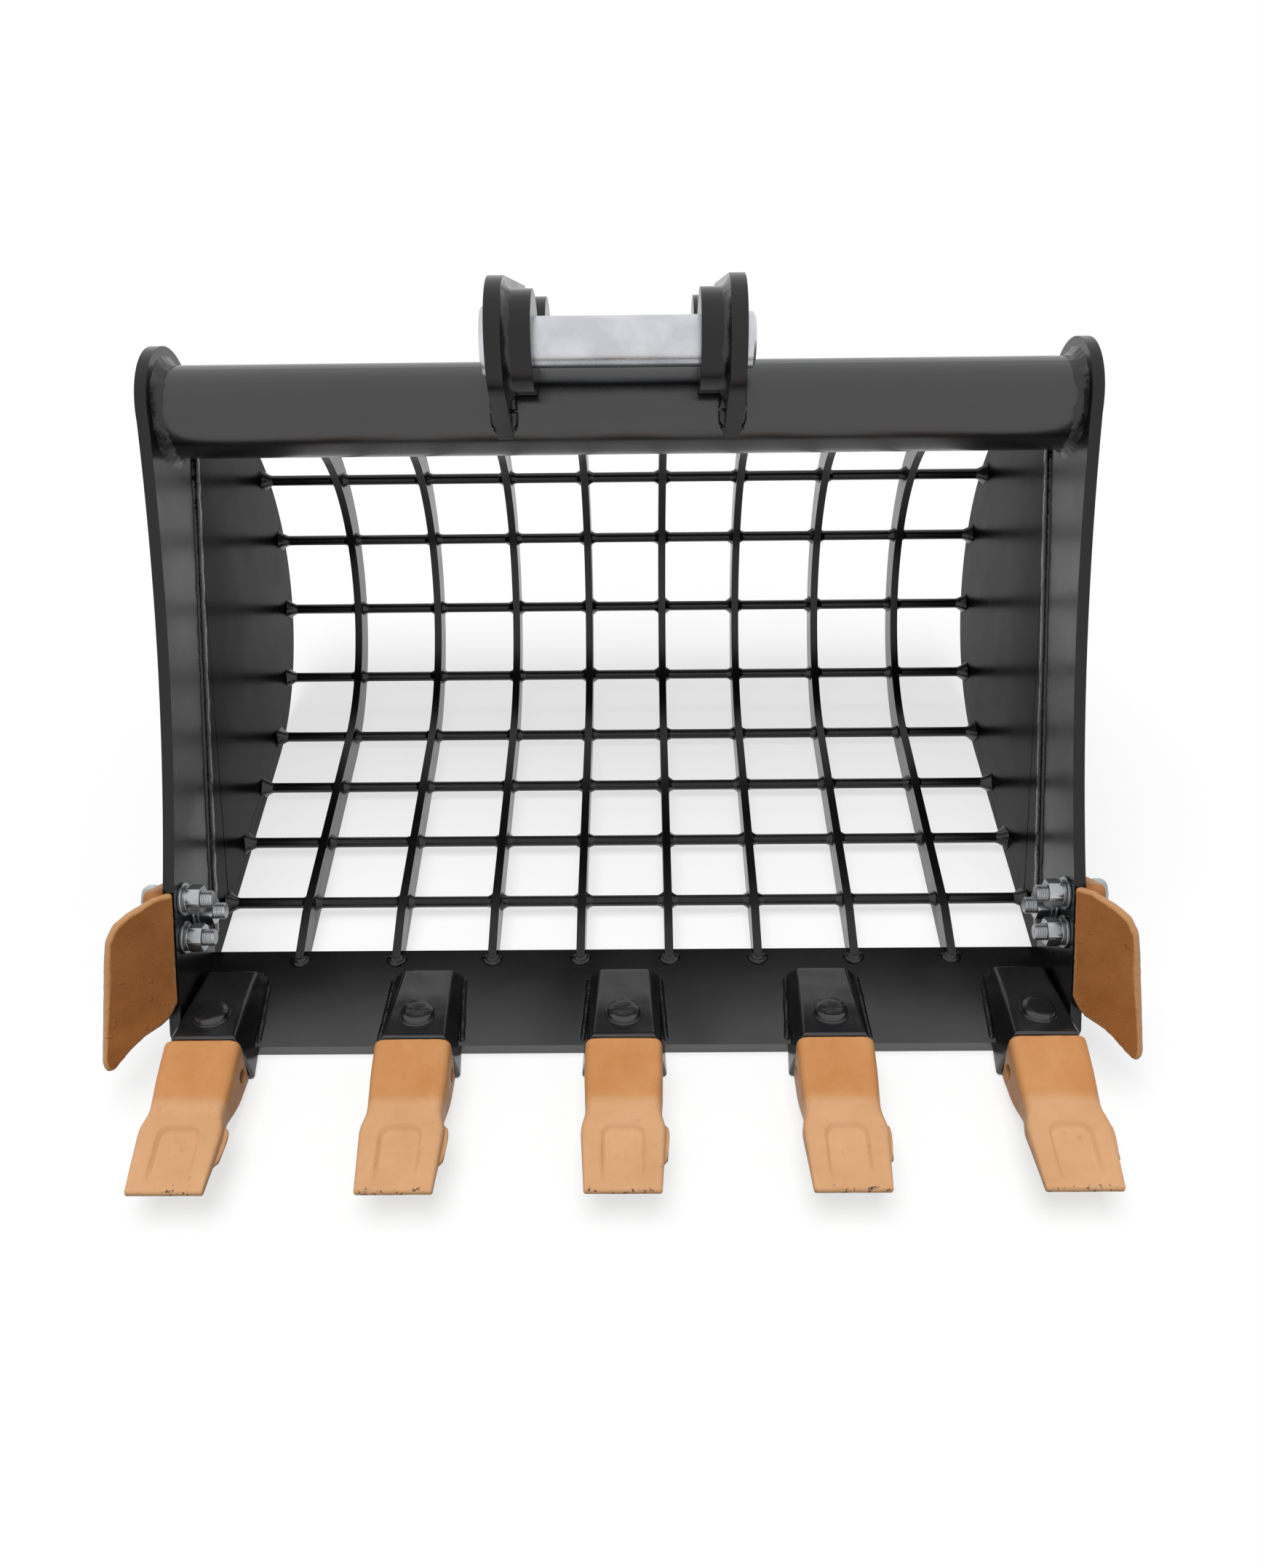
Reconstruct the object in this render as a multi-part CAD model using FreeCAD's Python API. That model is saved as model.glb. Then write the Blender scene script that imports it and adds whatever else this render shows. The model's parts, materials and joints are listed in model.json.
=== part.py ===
import FreeCAD, Part
import math
import os

V = FreeCAD.Vector
os.makedirs("parts", exist_ok=True)

# Excavator skeleton bucket, in millimetres. It rests on its flat bottom: +X across
# the width, mouth towards -Y, +Z up. Profiles are drawn in the YZ plane with y = 0
# where the flat bottom runs into the curved back, and moved to the row origin last.

# ---- shell profile ----
overall_width = 1200.0
bar_thickness = 15.0
plate_thickness = 10.0
back_radius = 296.0
flat_length = 423.0
seat_gap = 0.15
cut_over = 1.0
match_tolerance = 0.01
top_angle = 180.0

# ---- cutting edge ----
lip_thickness = 20.0
lip_width = 158.0

# ---- torsion tube ----
tube_lead = 12.0
tube_rise = 43.0
tube_radius = 58.5
tube_wall = 10.0
lobe_radius = 82.0
tube_weld_leg = 9.0

# ---- side bars: front edge from the lobe down to the cutting edge ----
lobe_tangent_angle = 142.4
edge_hollow = 27.1
knee_lead = 40.5
knee_height = 191.8
bar_toe_height = 25.0
bar_toe_setback = 1.0
seam_angle = 170.5
seam_bead_radius = 7.0

# ---- ribs and rods ----
rib_thickness = 12.0
rib_height = 45.0
rib_offsets = (62.5, 187.5, 323.0, 460.0)
rib_taper_length = 74.0
rib_lap = 20.0
rib_tip_height = 8.0
rib_top_angle = 150.0
rib_weld_radius = 13.0
rod_diameter = 16.0
rod_count = 8
rod_setback = 87.0
rod_pitch = 120.0
rod_hole_clearance = 0.1
rod_stickout = 3.0

# ---- back plate behind the tube ----
back_plate_thickness = 10.0
back_plate_angle = 120.0

# ---- hanger ears ----
ear_outer_x = 153.8
ear_thickness = 20.0
ear_radius = 76.0
front_pin_lead = 40.0
front_pin_rise = 108.0
rear_pin_angle = 149.8
rear_pin_rise = 89.4
pin_diameter = 60.0
pin_clearance = 0.06
boss_radius = 61.0
front_gap = 200.0
rear_gap = 205.0
boss_weld_leg = 11.0
ear_toe_angle = 9.0
ear_toe_thickness = 4.0
ear_heel_angle = 128.0
ear_front_angle = 35.0
ear_rear_angle = 20.0

# ---- hanger pin ----
head_radius = 42.0
head_thickness = 9.5
head_clearance = 0.3
collar_radius = 33.0
collar_thickness = 12.0
pin_stickout = 1.5
pin_chamfer = 2.5

# ---- adapters: the nose and its tooth tilt up from the flat bottom ----
tooth_count = 5
tooth_pitch = 272.5
nose_tilt = 15.0
adapter_length = 113.0
adapter_reach = 20.0
adapter_rear_height = 16.5
adapter_front_height = 52.0
adapter_rear_half_top = 33.0
adapter_front_half_top = 41.0
adapter_rear_half_base = 45.0
adapter_front_half_base = 50.0
adapter_trim_gap = 0.3
pad_radius = 19.5
pad_height = 6.0
pad_setback = 43.0
nose_length = 85.0
nose_rear_half = 38.0
nose_front_half = 29.0
nose_rear_height = 46.0
nose_front_height = 14.0
nose_rear_depth = 37.0
nose_front_depth = 51.0
nose_clearance = 0.3

# ---- teeth: runs go forward from the rear face, depths down from its top edge ----
tooth_gap = 1.5
tooth_length = 185.0
tooth_box_height = 71.5
tooth_shoulder_run = 74.0
tooth_shoulder_depth = 32.0
tooth_tip_depth = 68.0
tooth_tip_thickness = 8.5
tooth_heel_run = 52.0
tooth_heel_depth = 73.0
tooth_belly_run = 102.0
tooth_belly_depth = 62.5
tooth_box_half = 50.0
tooth_box_run = 40.0
tooth_box_chamfer = 3.0
tooth_waist_half = 47.5
tooth_waist_run = 87.0
tooth_blade_half = 52.5
tooth_blade_run = 108.0
tooth_tip_half = 46.5
pocket_half = 26.5
pocket_run = 106.0
pocket_end_gap = 8.0
pocket_depth = 2.5
lug_width = 5.0
lug_height = 9.0
lug_drop = 12.0
lug_run = 100.0
lug_length = 48.0
tooth_pin_diameter = 18.0
tooth_pin_run = 20.0
tooth_pin_depth = 46.0
tooth_pin_recess = 5.0
tooth_pin_clearance = 0.05
tooth_pin_mouth_radius = 12.5
tooth_pin_mouth_depth = 4.0

# ---- side cutters: a blade that flares out from the front edge of the side bar ----
cutter_thickness = 20.0
cutter_flare = 42.0
cutter_edge_gap = 0.3
cutter_blade_length = 84.0
cutter_tip_run = 204.0
cutter_root_length = 140.0
cutter_flange_rear = 24.0
cutter_flange_margin = 24.0

# ---- bolts of the side cutters ----
bolt_diameter = 22.0
bolt_hole_clearance = 0.5
bolt_spacing = 52.0
bolt_edge_distance = 30.0
bolt_first = 9.5
washer_radius = 22.0
washer_thickness = 4.0
spring_washer_radius = 18.0
spring_washer_thickness = 5.0
nut_flats = 34.0
nut_height = 18.0
nut_clearance = 0.05
bolt_head_height = 14.0
bolt_end_stickout = 14.0

# ---- values that follow from the sizes above ----
outer_x = overall_width / 2
inner_x = outer_x - bar_thickness
plate_outer_x = inner_x + plate_thickness
lip_rear = -flat_length
lip_front = lip_rear - lip_width
tube_y = -tube_lead
tube_z = 2 * back_radius + tube_rise
front_pin_y = tube_y - front_pin_lead
front_pin_z = tube_z + front_pin_rise
rear_pin_turn = math.radians(rear_pin_angle)
rear_pin_y = (back_radius + rear_pin_rise) * math.sin(rear_pin_turn)
rear_pin_z = back_radius - (back_radius + rear_pin_rise) * math.cos(rear_pin_turn)
edge_knee = (lip_rear - knee_lead, knee_height)
bar_toe = (lip_front + bar_toe_setback, lip_thickness + bar_toe_height)
rib_inner_radius = back_radius - rib_height
rod_first = lip_rear + rod_setback
rod_radius = rod_diameter / 2
rod_path_radius = back_radius - rib_height / 2
back_plate_inner = back_radius - back_plate_thickness
ear_inner_x = ear_outer_x - ear_thickness
bore_radius = pin_diameter / 2 + pin_clearance
adapter_rear = lip_front + adapter_length
adapter_face = lip_front - adapter_reach
adapter_top = lip_thickness + adapter_front_height
tilt = math.radians(nose_tilt)
tip_reach = (tooth_gap + tooth_length) * math.cos(tilt)
tip_drop = (tooth_tip_depth + tooth_tip_thickness) * math.sin(tilt)
tooth_tip = adapter_face - tip_reach - tip_drop
origin_y = (back_radius + tooth_tip) / 2


def line(a, b):
    return Part.LineSegment(a, b).toShape()


def arc(a, middle, b):
    return Part.Arc(a, middle, b).toShape()


def prism(edges, direction):
    return Part.Face(Part.Wire(edges)).extrude(direction)


def polygon_prism(points, direction):
    return Part.Face(Part.makePolygon(points + points[:1])).extrude(direction)


def disc(y, z, radius, x0, x1):
    return Part.makeCylinder(radius, x1 - x0, V(x0, y, z), V(1, 0, 0))


def box(x0, x1, y0, y1, z0, z1):
    return Part.makeBox(x1 - x0, y1 - y0, z1 - z0, V(x0, y0, z0))


def hexagon(y, z, flats, x0, x1):
    corner = flats / math.sqrt(3)
    turns = [math.tau * i / 6 for i in range(6)]
    ring = [V(x0, y + corner * math.cos(t), z + corner * math.sin(t)) for t in turns]
    return polygon_prism(ring, V(x1 - x0, 0, 0))


def mirrored(shape):
    return shape.mirror(V(0, 0, 0), V(1, 0, 0))


def save(name, shapes):
    """Write one node; several solids stay separate solids of one file."""
    solids = [solid for shape in shapes for solid in shape.Solids]
    node = solids[0] if len(solids) == 1 else Part.makeCompound(solids)
    node = node.copy()
    node.translate(V(0, -origin_y, 0))
    node.exportStep("parts/" + name + ".step")


def on_back(angle, radius):
    """Point (y, z) of the curved back; the angle runs from the bottom up the rear."""
    turn = math.radians(angle)
    return radius * math.sin(turn), back_radius - radius * math.cos(turn)


def rod_place(index):
    """Centre (y, z) of a rod on the ribs' middle line, counted from the lip."""
    run = rod_first + index * rod_pitch
    if run <= 0:
        return run, back_radius - rod_path_radius
    return on_back(math.degrees(run / rod_path_radius), rod_path_radius)


def rod_holes(x0, x1):
    radius = rod_radius + rod_hole_clearance
    return [disc(*rod_place(i), radius, x0, x1) for i in range(rod_count)]


def back_arc(x, start, end, radius):
    middle = on_back((start + end) / 2, radius)
    return arc(V(x, *on_back(start, radius)), V(x, *middle), V(x, *on_back(end, radius)))


# ---- ribs ----
def make_rib(x_centre):
    x = x_centre - rib_thickness / 2
    under_plate = back_plate_inner - seat_gap
    tip_y = lip_rear - rib_lap
    tip_z = lip_thickness + rib_tip_height
    taper_y = tip_y + rib_taper_length
    outer_step = V(x, *on_back(back_plate_angle, back_radius))
    inner_step = V(x, *on_back(back_plate_angle, under_plate))
    top_outer = V(x, *on_back(rib_top_angle, under_plate))
    top_inner = V(x, *on_back(rib_top_angle, rib_inner_radius))
    notch = [V(x, tip_y, tip_z), V(x, tip_y, lip_thickness),
             V(x, lip_rear, lip_thickness), V(x, lip_rear, 0)]
    edges = [line(V(x, lip_rear, 0), V(x, 0, 0)),
             back_arc(x, 0, back_plate_angle, back_radius),
             line(outer_step, inner_step),
             back_arc(x, back_plate_angle, rib_top_angle, under_plate),
             line(top_outer, top_inner),
             back_arc(x, rib_top_angle, 0, rib_inner_radius),
             line(V(x, 0, rib_height), V(x, taper_y, rib_height)),
             line(V(x, taper_y, rib_height), notch[0])]
    edges += [line(a, b) for a, b in zip(notch, notch[1:])]
    rib = prism(edges, V(rib_thickness, 0, 0))
    return rib.cut(Part.makeCompound(rod_holes(x - cut_over, x + rib_thickness + cut_over)))


def make_rib_weld(x_centre):
    tip_y = lip_rear - rib_lap
    ball = Part.makeSphere(rib_weld_radius, V(x_centre, tip_y, lip_thickness))
    reach = rib_weld_radius + cut_over
    keep = box(x_centre - reach, x_centre + reach, tip_y - reach, tip_y,
               lip_thickness, lip_thickness + reach)
    return ball.common(keep)


# ---- side walls ----
def tube_disc(radius, x0, x1):
    return disc(tube_y, tube_z, radius, x0, x1)


def make_side_plate():
    x = inner_x
    seam_top = V(x, *on_back(seam_angle, back_radius))
    seam_foot = V(x, lip_rear, lip_thickness)
    edges = [line(V(x, lip_rear, 0), V(x, 0, 0)),
             back_arc(x, 0, seam_angle, back_radius),
             line(seam_top, seam_foot),
             line(seam_foot, V(x, lip_rear, 0))]
    plate = prism(edges, V(plate_thickness, 0, 0))
    holes = rod_holes(x - cut_over, plate_outer_x + cut_over)
    lobe = tube_disc(lobe_radius + seat_gap, x - cut_over, plate_outer_x + cut_over)
    return plate.cut(Part.makeCompound(holes + [lobe]))


edge_run = math.dist(edge_knee, bar_toe)
edge_down = ((bar_toe[0] - edge_knee[0]) / edge_run, (bar_toe[1] - edge_knee[1]) / edge_run)
edge_out = (edge_down[1], -edge_down[0])


def by_edge(x, along, out):
    """Point placed from the knee of the side bar's front edge."""
    y = edge_knee[0] + along * edge_down[0] + out * edge_out[0]
    z = edge_knee[1] + along * edge_down[1] + out * edge_out[1]
    return V(x, y, z)


def bolt_places():
    """The three bolts: two beside the front edge, the third behind them."""
    behind = bolt_edge_distance + bolt_spacing * math.sqrt(3) / 2
    return [(bolt_first, -bolt_edge_distance),
            (bolt_first + bolt_spacing, -bolt_edge_distance),
            (bolt_first + bolt_spacing / 2, -behind)]


def bolt_centres():
    centres = [by_edge(0, along, out) for along, out in bolt_places()]
    return [(centre.y, centre.z) for centre in centres]


def bolt_holes(x0, x1):
    radius = bolt_diameter / 2 + bolt_hole_clearance
    return Part.makeCompound([disc(y, z, radius, x0, x1) for y, z in bolt_centres()])


def hollow_middle(start, end, hollow):
    """Middle of an arc between two points of the front edge, sunk by the hollow."""
    run = (end - start).normalize()
    return (start + end) / 2 + V(0, -run.z, run.y) * hollow


def make_side_bar():
    x = inner_x
    turn = math.radians(lobe_tangent_angle)
    centre = V(x, tube_y, tube_z)
    tangent = centre + V(0, math.cos(turn), math.sin(turn)) * lobe_radius
    knee = V(x, *edge_knee)
    middle = hollow_middle(tangent, knee, edge_hollow)
    toe = V(x, *bar_toe)
    foot = V(x, bar_toe[0], lip_thickness)
    seam_foot = V(x, lip_rear, lip_thickness)
    seam_top = V(x, *on_back(seam_angle, back_radius))
    edges = [line(seam_foot, seam_top), line(seam_top, centre), line(centre, tangent),
             arc(tangent, middle, knee), line(knee, toe), line(toe, foot),
             line(foot, seam_foot)]
    bar = prism(edges, V(bar_thickness, 0, 0))
    bar = bar.fuse(tube_disc(lobe_radius, x, outer_x)).removeSplitter()
    return bar.cut(bolt_holes(x - cut_over, outer_x + cut_over))


def make_seam_bead():
    foot = V(inner_x, lip_rear, lip_thickness)
    top = V(inner_x, *on_back(seam_angle, back_radius))
    run = top - foot
    trim = seam_bead_radius * 3
    start = foot + run * (trim / run.Length)
    rod = Part.makeCylinder(seam_bead_radius, run.Length - 2 * trim, start, run)
    inside = box(inner_x - 2 * seam_bead_radius, inner_x, lip_rear, back_radius,
                 0, 2 * back_radius)
    clear = tube_disc(tube_radius + tube_weld_leg + cut_over,
                      inner_x - 2 * seam_bead_radius, inner_x + cut_over)
    return rod.common(inside).cut(clear)


# ---- torsion tube ----
def make_tube():
    outside = tube_disc(tube_radius, -inner_x, inner_x)
    return outside.cut(tube_disc(tube_radius - tube_wall, -inner_x - cut_over, inner_x + cut_over))


def make_tube_weld():
    x = inner_x
    start = x - tube_weld_leg
    cone = Part.makeCone(tube_radius + seat_gap, tube_radius + tube_weld_leg,
                         tube_weld_leg, V(start, tube_y, tube_z), V(1, 0, 0))
    return cone.cut(tube_disc(tube_radius + seat_gap, start - cut_over, x + cut_over))


def make_back_plate():
    x = -inner_x
    start, end = back_plate_angle, top_angle
    corners = [V(x, *on_back(a, r)) for a, r in
               ((start, back_radius), (end, back_radius),
                (end, back_plate_inner), (start, back_plate_inner))]
    edges = [back_arc(x, start, end, back_radius), line(corners[1], corners[2]),
             back_arc(x, end, start, back_plate_inner), line(corners[3], corners[0])]
    plate = prism(edges, V(2 * inner_x, 0, 0))
    tool = tube_disc(tube_radius + seat_gap, -outer_x, outer_x)
    reach = tube_weld_leg + cut_over
    ends = [tube_disc(tube_radius + reach, side * inner_x - reach, side * inner_x + reach)
            for side in (-1, 1)]
    pieces = plate.cut(Part.makeCompound([tool] + ends)).Solids
    return max(pieces, key=lambda piece: piece.Volume)


# ---- hanger ears ----
def below_pin(y, z, side, angle):
    """Point of the ear's round end, an angle below the level of the pin."""
    turn = math.radians(angle)
    return y + side * ear_radius * math.cos(turn), z - ear_radius * math.sin(turn)


def ear_blank(x0):
    """Outline round both pin centres, with a toe on the tube and a heel on the back."""
    toe_turn = math.radians(ear_toe_angle)
    toe_reach = tube_radius + ear_toe_thickness
    toe = (tube_y - toe_reach * math.cos(toe_turn), tube_z - toe_reach * math.sin(toe_turn))
    heel = on_back(ear_heel_angle, back_radius)
    lean = math.atan2(rear_pin_z - front_pin_z, rear_pin_y - front_pin_y)
    up = (-math.sin(lean) * ear_radius, math.cos(lean) * ear_radius)
    front_low = below_pin(front_pin_y, front_pin_z, -1, ear_front_angle)
    rear_low = below_pin(rear_pin_y, rear_pin_z, 1, ear_rear_angle)
    outline = [(front_pin_y + up[0], front_pin_z + up[1]),
               (rear_pin_y + up[0], rear_pin_z + up[1]), (rear_pin_y, rear_pin_z),
               rear_low, heel, (0, back_radius), (tube_y, tube_z), toe, front_low,
               (front_pin_y, front_pin_z)]
    blank = polygon_prism([V(x0, y, z) for y, z in outline], V(ear_thickness, 0, 0))
    x1 = x0 + ear_thickness
    rounds = [disc(front_pin_y, front_pin_z, ear_radius, x0, x1),
              disc(rear_pin_y, rear_pin_z, ear_radius, x0, x1)]
    return blank.multiFuse(rounds).removeSplitter()


def pin_bores(x0, x1):
    return [disc(front_pin_y, front_pin_z, bore_radius, x0, x1),
            disc(rear_pin_y, rear_pin_z, bore_radius, x0, x1)]


def make_ear():
    x0, x1 = ear_inner_x, ear_outer_x
    barrel = disc(0, back_radius, back_radius + seat_gap, x0 - cut_over, x1 + cut_over)
    tube = tube_disc(tube_radius + seat_gap, x0 - cut_over, x1 + cut_over)
    tools = [barrel, tube] + pin_bores(x0 - cut_over, x1 + cut_over)
    pieces = ear_blank(x0).cut(Part.makeCompound(tools)).Solids
    return max(pieces, key=lambda piece: piece.Volume)


def make_boss(y, z, gap):
    x0, x1 = gap / 2, ear_inner_x
    ring = disc(y, z, boss_radius, x0, x1)
    tube = tube_disc(tube_radius + seat_gap, x0 - cut_over, x1 + cut_over)
    return ring.cut(disc(y, z, bore_radius, x0 - cut_over, x1 + cut_over)).cut(tube)


def make_boss_weld(y, z):
    x1 = ear_inner_x
    x0 = x1 - boss_weld_leg
    cone = Part.makeCone(boss_radius + seat_gap, boss_radius + boss_weld_leg,
                         boss_weld_leg, V(x0, y, z), V(1, 0, 0))
    hollow = disc(y, z, boss_radius + seat_gap, x0 - cut_over, x1 + cut_over)
    tube = tube_disc(tube_radius + seat_gap, x0 - cut_over, x1 + cut_over)
    return cone.cut(hollow).cut(tube)


# ---- hanger pin ----
def chamfered_disc(radius, x0, x1, cut_start, cut_end):
    shape = disc(front_pin_y, front_pin_z, radius, x0, x1)
    ends = [edge for edge in shape.Edges if edge.Closed]
    chosen = [edge for edge in ends
              if (cut_start and abs(edge.CenterOfMass.x - x0) < match_tolerance)
              or (cut_end and abs(edge.CenterOfMass.x - x1) < match_tolerance)]
    return shape.makeChamfer(pin_chamfer, chosen)


def make_pin():
    seat = -ear_outer_x - head_clearance
    end = ear_outer_x + head_clearance + collar_thickness + pin_stickout
    head = chamfered_disc(head_radius, seat - head_thickness, seat, True, False)
    shank = chamfered_disc(pin_diameter / 2, seat - head_thickness / 2, end, False, True)
    return head.fuse(shank).removeSplitter()


def make_collar():
    x0 = ear_outer_x + head_clearance
    x1 = x0 + collar_thickness
    ring = chamfered_disc(collar_radius, x0, x1, False, True)
    return ring.cut(disc(front_pin_y, front_pin_z, bore_radius, x0 - cut_over, x1 + cut_over))


# ---- adapters ----
def tilted(shape):
    """From the nose's own frame, whose origin is the top edge of the adapter's face."""
    moved = shape.copy()
    moved.rotate(V(0, 0, 0), V(1, 0, 0), -nose_tilt)
    moved.translate(V(0, adapter_face, adapter_top))
    return moved


def section(run, half_low, low, half_high, high):
    """Four-sided section of the nose's frame at a run forward of the adapter's face."""
    corners = [V(-half_low, -run, low), V(half_low, -run, low),
               V(half_high, -run, high), V(-half_high, -run, high)]
    return Part.makePolygon(corners + corners[:1])


def nose(extra):
    """Tapered nose of the adapter, or the tooth's hollow when extra is a clearance."""
    rear_half, front_half = nose_rear_half + extra, nose_front_half + extra
    rear_reach = nose_rear_height / 2 + extra
    front_reach = nose_front_height / 2 + extra
    rear = section(0, rear_half, -nose_rear_depth - rear_reach,
                   rear_half, -nose_rear_depth + rear_reach)
    front = section(nose_length + extra, front_half, -nose_front_depth - front_reach,
                    front_half, -nose_front_depth + front_reach)
    return Part.makeLoft([rear, front], True, True)


def tooth_pin_disc(radius, half):
    place = V(-half, -tooth_gap - tooth_pin_run, -tooth_pin_depth)
    return Part.makeCylinder(radius, 2 * half, place, V(1, 0, 0))


def tooth_pin_hole():
    return tooth_pin_disc(tooth_pin_diameter / 2 + tooth_pin_clearance, outer_x)


def adapter_body():
    rear_top = lip_thickness + adapter_rear_height
    rear = Part.makePolygon([
        V(-adapter_rear_half_base, adapter_rear, lip_thickness),
        V(adapter_rear_half_base, adapter_rear, lip_thickness),
        V(adapter_rear_half_top, adapter_rear, rear_top),
        V(-adapter_rear_half_top, adapter_rear, rear_top),
        V(-adapter_rear_half_base, adapter_rear, lip_thickness)])
    front = tilted(section(0, adapter_front_half_base, -tooth_box_height,
                           adapter_front_half_top, 0))
    lip = box(-outer_x, outer_x, lip_front, adapter_rear + cut_over,
              -lip_thickness, lip_thickness)
    return Part.makeLoft([rear, front], True, True).cut(lip)


def make_pad():
    """Round pad on the adapter's top, square to it."""
    rise = adapter_front_height - adapter_rear_height
    slope = math.atan2(rise, adapter_length + adapter_reach)
    normal = V(0, math.sin(slope), math.cos(slope))
    back = V(0, math.cos(slope), -math.sin(slope))
    base = V(0, adapter_face, adapter_top) + back * pad_setback - normal * pad_height
    return Part.makeCylinder(pad_radius, 2 * pad_height, base, normal)


def make_adapter():
    body = adapter_body().multiFuse([tilted(nose(0)), make_pad()]).removeSplitter()
    return body.cut(tilted(tooth_pin_hole()))


def corner_trim(side):
    """Room for the side bar that stands on the lip beside a corner adapter."""
    near = inner_x - adapter_trim_gap
    far = outer_x + adapter_front_half_base
    reach = (near, far) if side > 0 else (-far, -near)
    return box(*reach, lip_front - adapter_trim_gap, adapter_rear + cut_over,
               lip_thickness - cut_over, adapter_top + pad_height)


def tooth_offsets():
    first = -(tooth_count - 1) / 2
    return [(first + i) * tooth_pitch for i in range(tooth_count)]


def place(shape, x):
    moved = shape.copy()
    moved.translate(V(x, 0, 0))
    return moved


# ---- teeth, in the nose's frame ----
def tooth_outline():
    """(run, half width) from the rear face to the tip: box, waist, blade."""
    return [(0, tooth_box_half - tooth_box_chamfer), (tooth_box_chamfer, tooth_box_half),
            (tooth_box_run, tooth_box_half), (tooth_waist_run, tooth_waist_half),
            (tooth_blade_run, tooth_blade_half), (tooth_length, tooth_tip_half)]


def tooth_top(run):
    """Height of the top face, from the level of the rear face's top edge."""
    if run <= tooth_shoulder_run:
        return -tooth_shoulder_depth * run / tooth_shoulder_run
    share = (run - tooth_shoulder_run) / (tooth_length - tooth_shoulder_run)
    return -tooth_shoulder_depth - (tooth_tip_depth - tooth_shoulder_depth) * share


def tooth_blank():
    half = tooth_outline()
    deep = tooth_tip_depth + tooth_tip_thickness
    low, tall = -deep - cut_over, deep + 2 * cut_over
    right = [V(w, -tooth_gap - run, low) for run, w in half]
    left = [V(-w, -tooth_gap - run, low) for run, w in reversed(half)]
    plan = polygon_prism(right + left, V(0, 0, tall))
    runs = (0, tooth_shoulder_run, tooth_length)
    top = [V(-outer_x, -tooth_gap - run, tooth_top(run)) for run in runs]
    floor = [V(-outer_x, -tooth_gap - tooth_length, -deep),
             V(-outer_x, -tooth_gap - tooth_belly_run, -tooth_belly_depth),
             V(-outer_x, -tooth_gap - tooth_heel_run, -tooth_heel_depth),
             V(-outer_x, -tooth_gap, -tooth_box_height)]
    side = polygon_prism(top + floor, V(2 * outer_x, 0, 0))
    return plan.common(side)


def make_pocket():
    """Shallow pocket in the blade's top face."""
    start, end = pocket_run, tooth_length - pocket_end_gap
    rim = [(-tooth_gap - run, tooth_top(run)) for run in (start, end)]
    slab = [V(-pocket_half, y, z - pocket_depth) for y, z in rim]
    slab += [V(-pocket_half, y, z + tooth_tip_depth) for y, z in reversed(rim)]
    return polygon_prism(slab, V(2 * pocket_half, 0, 0))


def make_lug():
    """Small lug on the blade's right flank, at the level of its belly."""
    start = lug_run + tooth_gap
    end = start + lug_length
    top = tooth_top(lug_run) - lug_drop
    fall = tooth_top(lug_run + lug_length) - tooth_top(lug_run)
    side = [V(0, -start, top), V(0, -end, top + fall), V(0, -end, top + fall - lug_height),
            V(0, -start, top - lug_height)]
    return polygon_prism(side, V(tooth_blade_half + lug_width, 0, 0))


def make_tooth():
    blank = tooth_blank().fuse(make_lug())
    mouth = tooth_box_half - tooth_pin_mouth_depth
    pit = tooth_pin_disc(tooth_pin_mouth_radius, outer_x)
    pit = pit.cut(tooth_pin_disc(2 * tooth_pin_mouth_radius, mouth))
    tools = [nose(nose_clearance), make_pocket(), tooth_pin_hole(), pit]
    return tilted(blank.cut(Part.makeCompound(tools)).removeSplitter())


def make_tooth_pin():
    return tilted(tooth_pin_disc(tooth_pin_diameter / 2, tooth_box_half - tooth_pin_recess))


# ---- side cutters ----
flare = math.radians(cutter_flare)
cutter_rise = (cutter_edge_gap + cutter_thickness / math.cos(flare)
               - bar_thickness * math.tan(flare))


def on_blade(reach, along):
    """Point of the blade's inner face, by its distance from the root and its run."""
    return by_edge(inner_x + reach * math.cos(flare), along,
                   cutter_rise + reach * math.sin(flare))


def blade_outline():
    """(reach, run) of the blade: rounded shoulder, outer edge, tip and lower edge."""
    length, tip, root = cutter_blade_length, cutter_tip_run, cutter_root_length
    fall = tip - root
    return [(0, 0), (length * 0.19, tip * 0.015), (length * 0.56, tip * 0.083),
            (length * 0.75, tip * 0.137), (length * 0.86, tip * 0.206),
            (length * 0.905, tip * 0.324), (length, tip * 0.95), (length * 0.975, tip),
            (length * 0.89, tip), (length * 0.64, root + fall * 0.69),
            (length * 0.44, root + fall * 0.5), (length * 0.2, root + fall * 0.36),
            (length * 0.08, root + fall * 0.25), (0, root)]


def flange_outline():
    """(run, out) of the flange beside the bar, up to where the blade flares off."""
    behind = bolt_places()[2][1] - cutter_flange_rear
    first, last = bolt_first, bolt_first + bolt_spacing
    margin, corner = cutter_flange_margin, cutter_thickness * math.tan(flare)
    return [(first - margin / 2, corner), (first - margin / 2, -bolt_edge_distance + margin),
            (first - margin * 0.7, -bolt_edge_distance - margin), (first + margin / 4, behind),
            (last - margin / 4, behind), (last + margin * 1.3, -bolt_edge_distance - margin / 2),
            (cutter_root_length, -margin / 2), (cutter_root_length, corner)]


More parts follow.
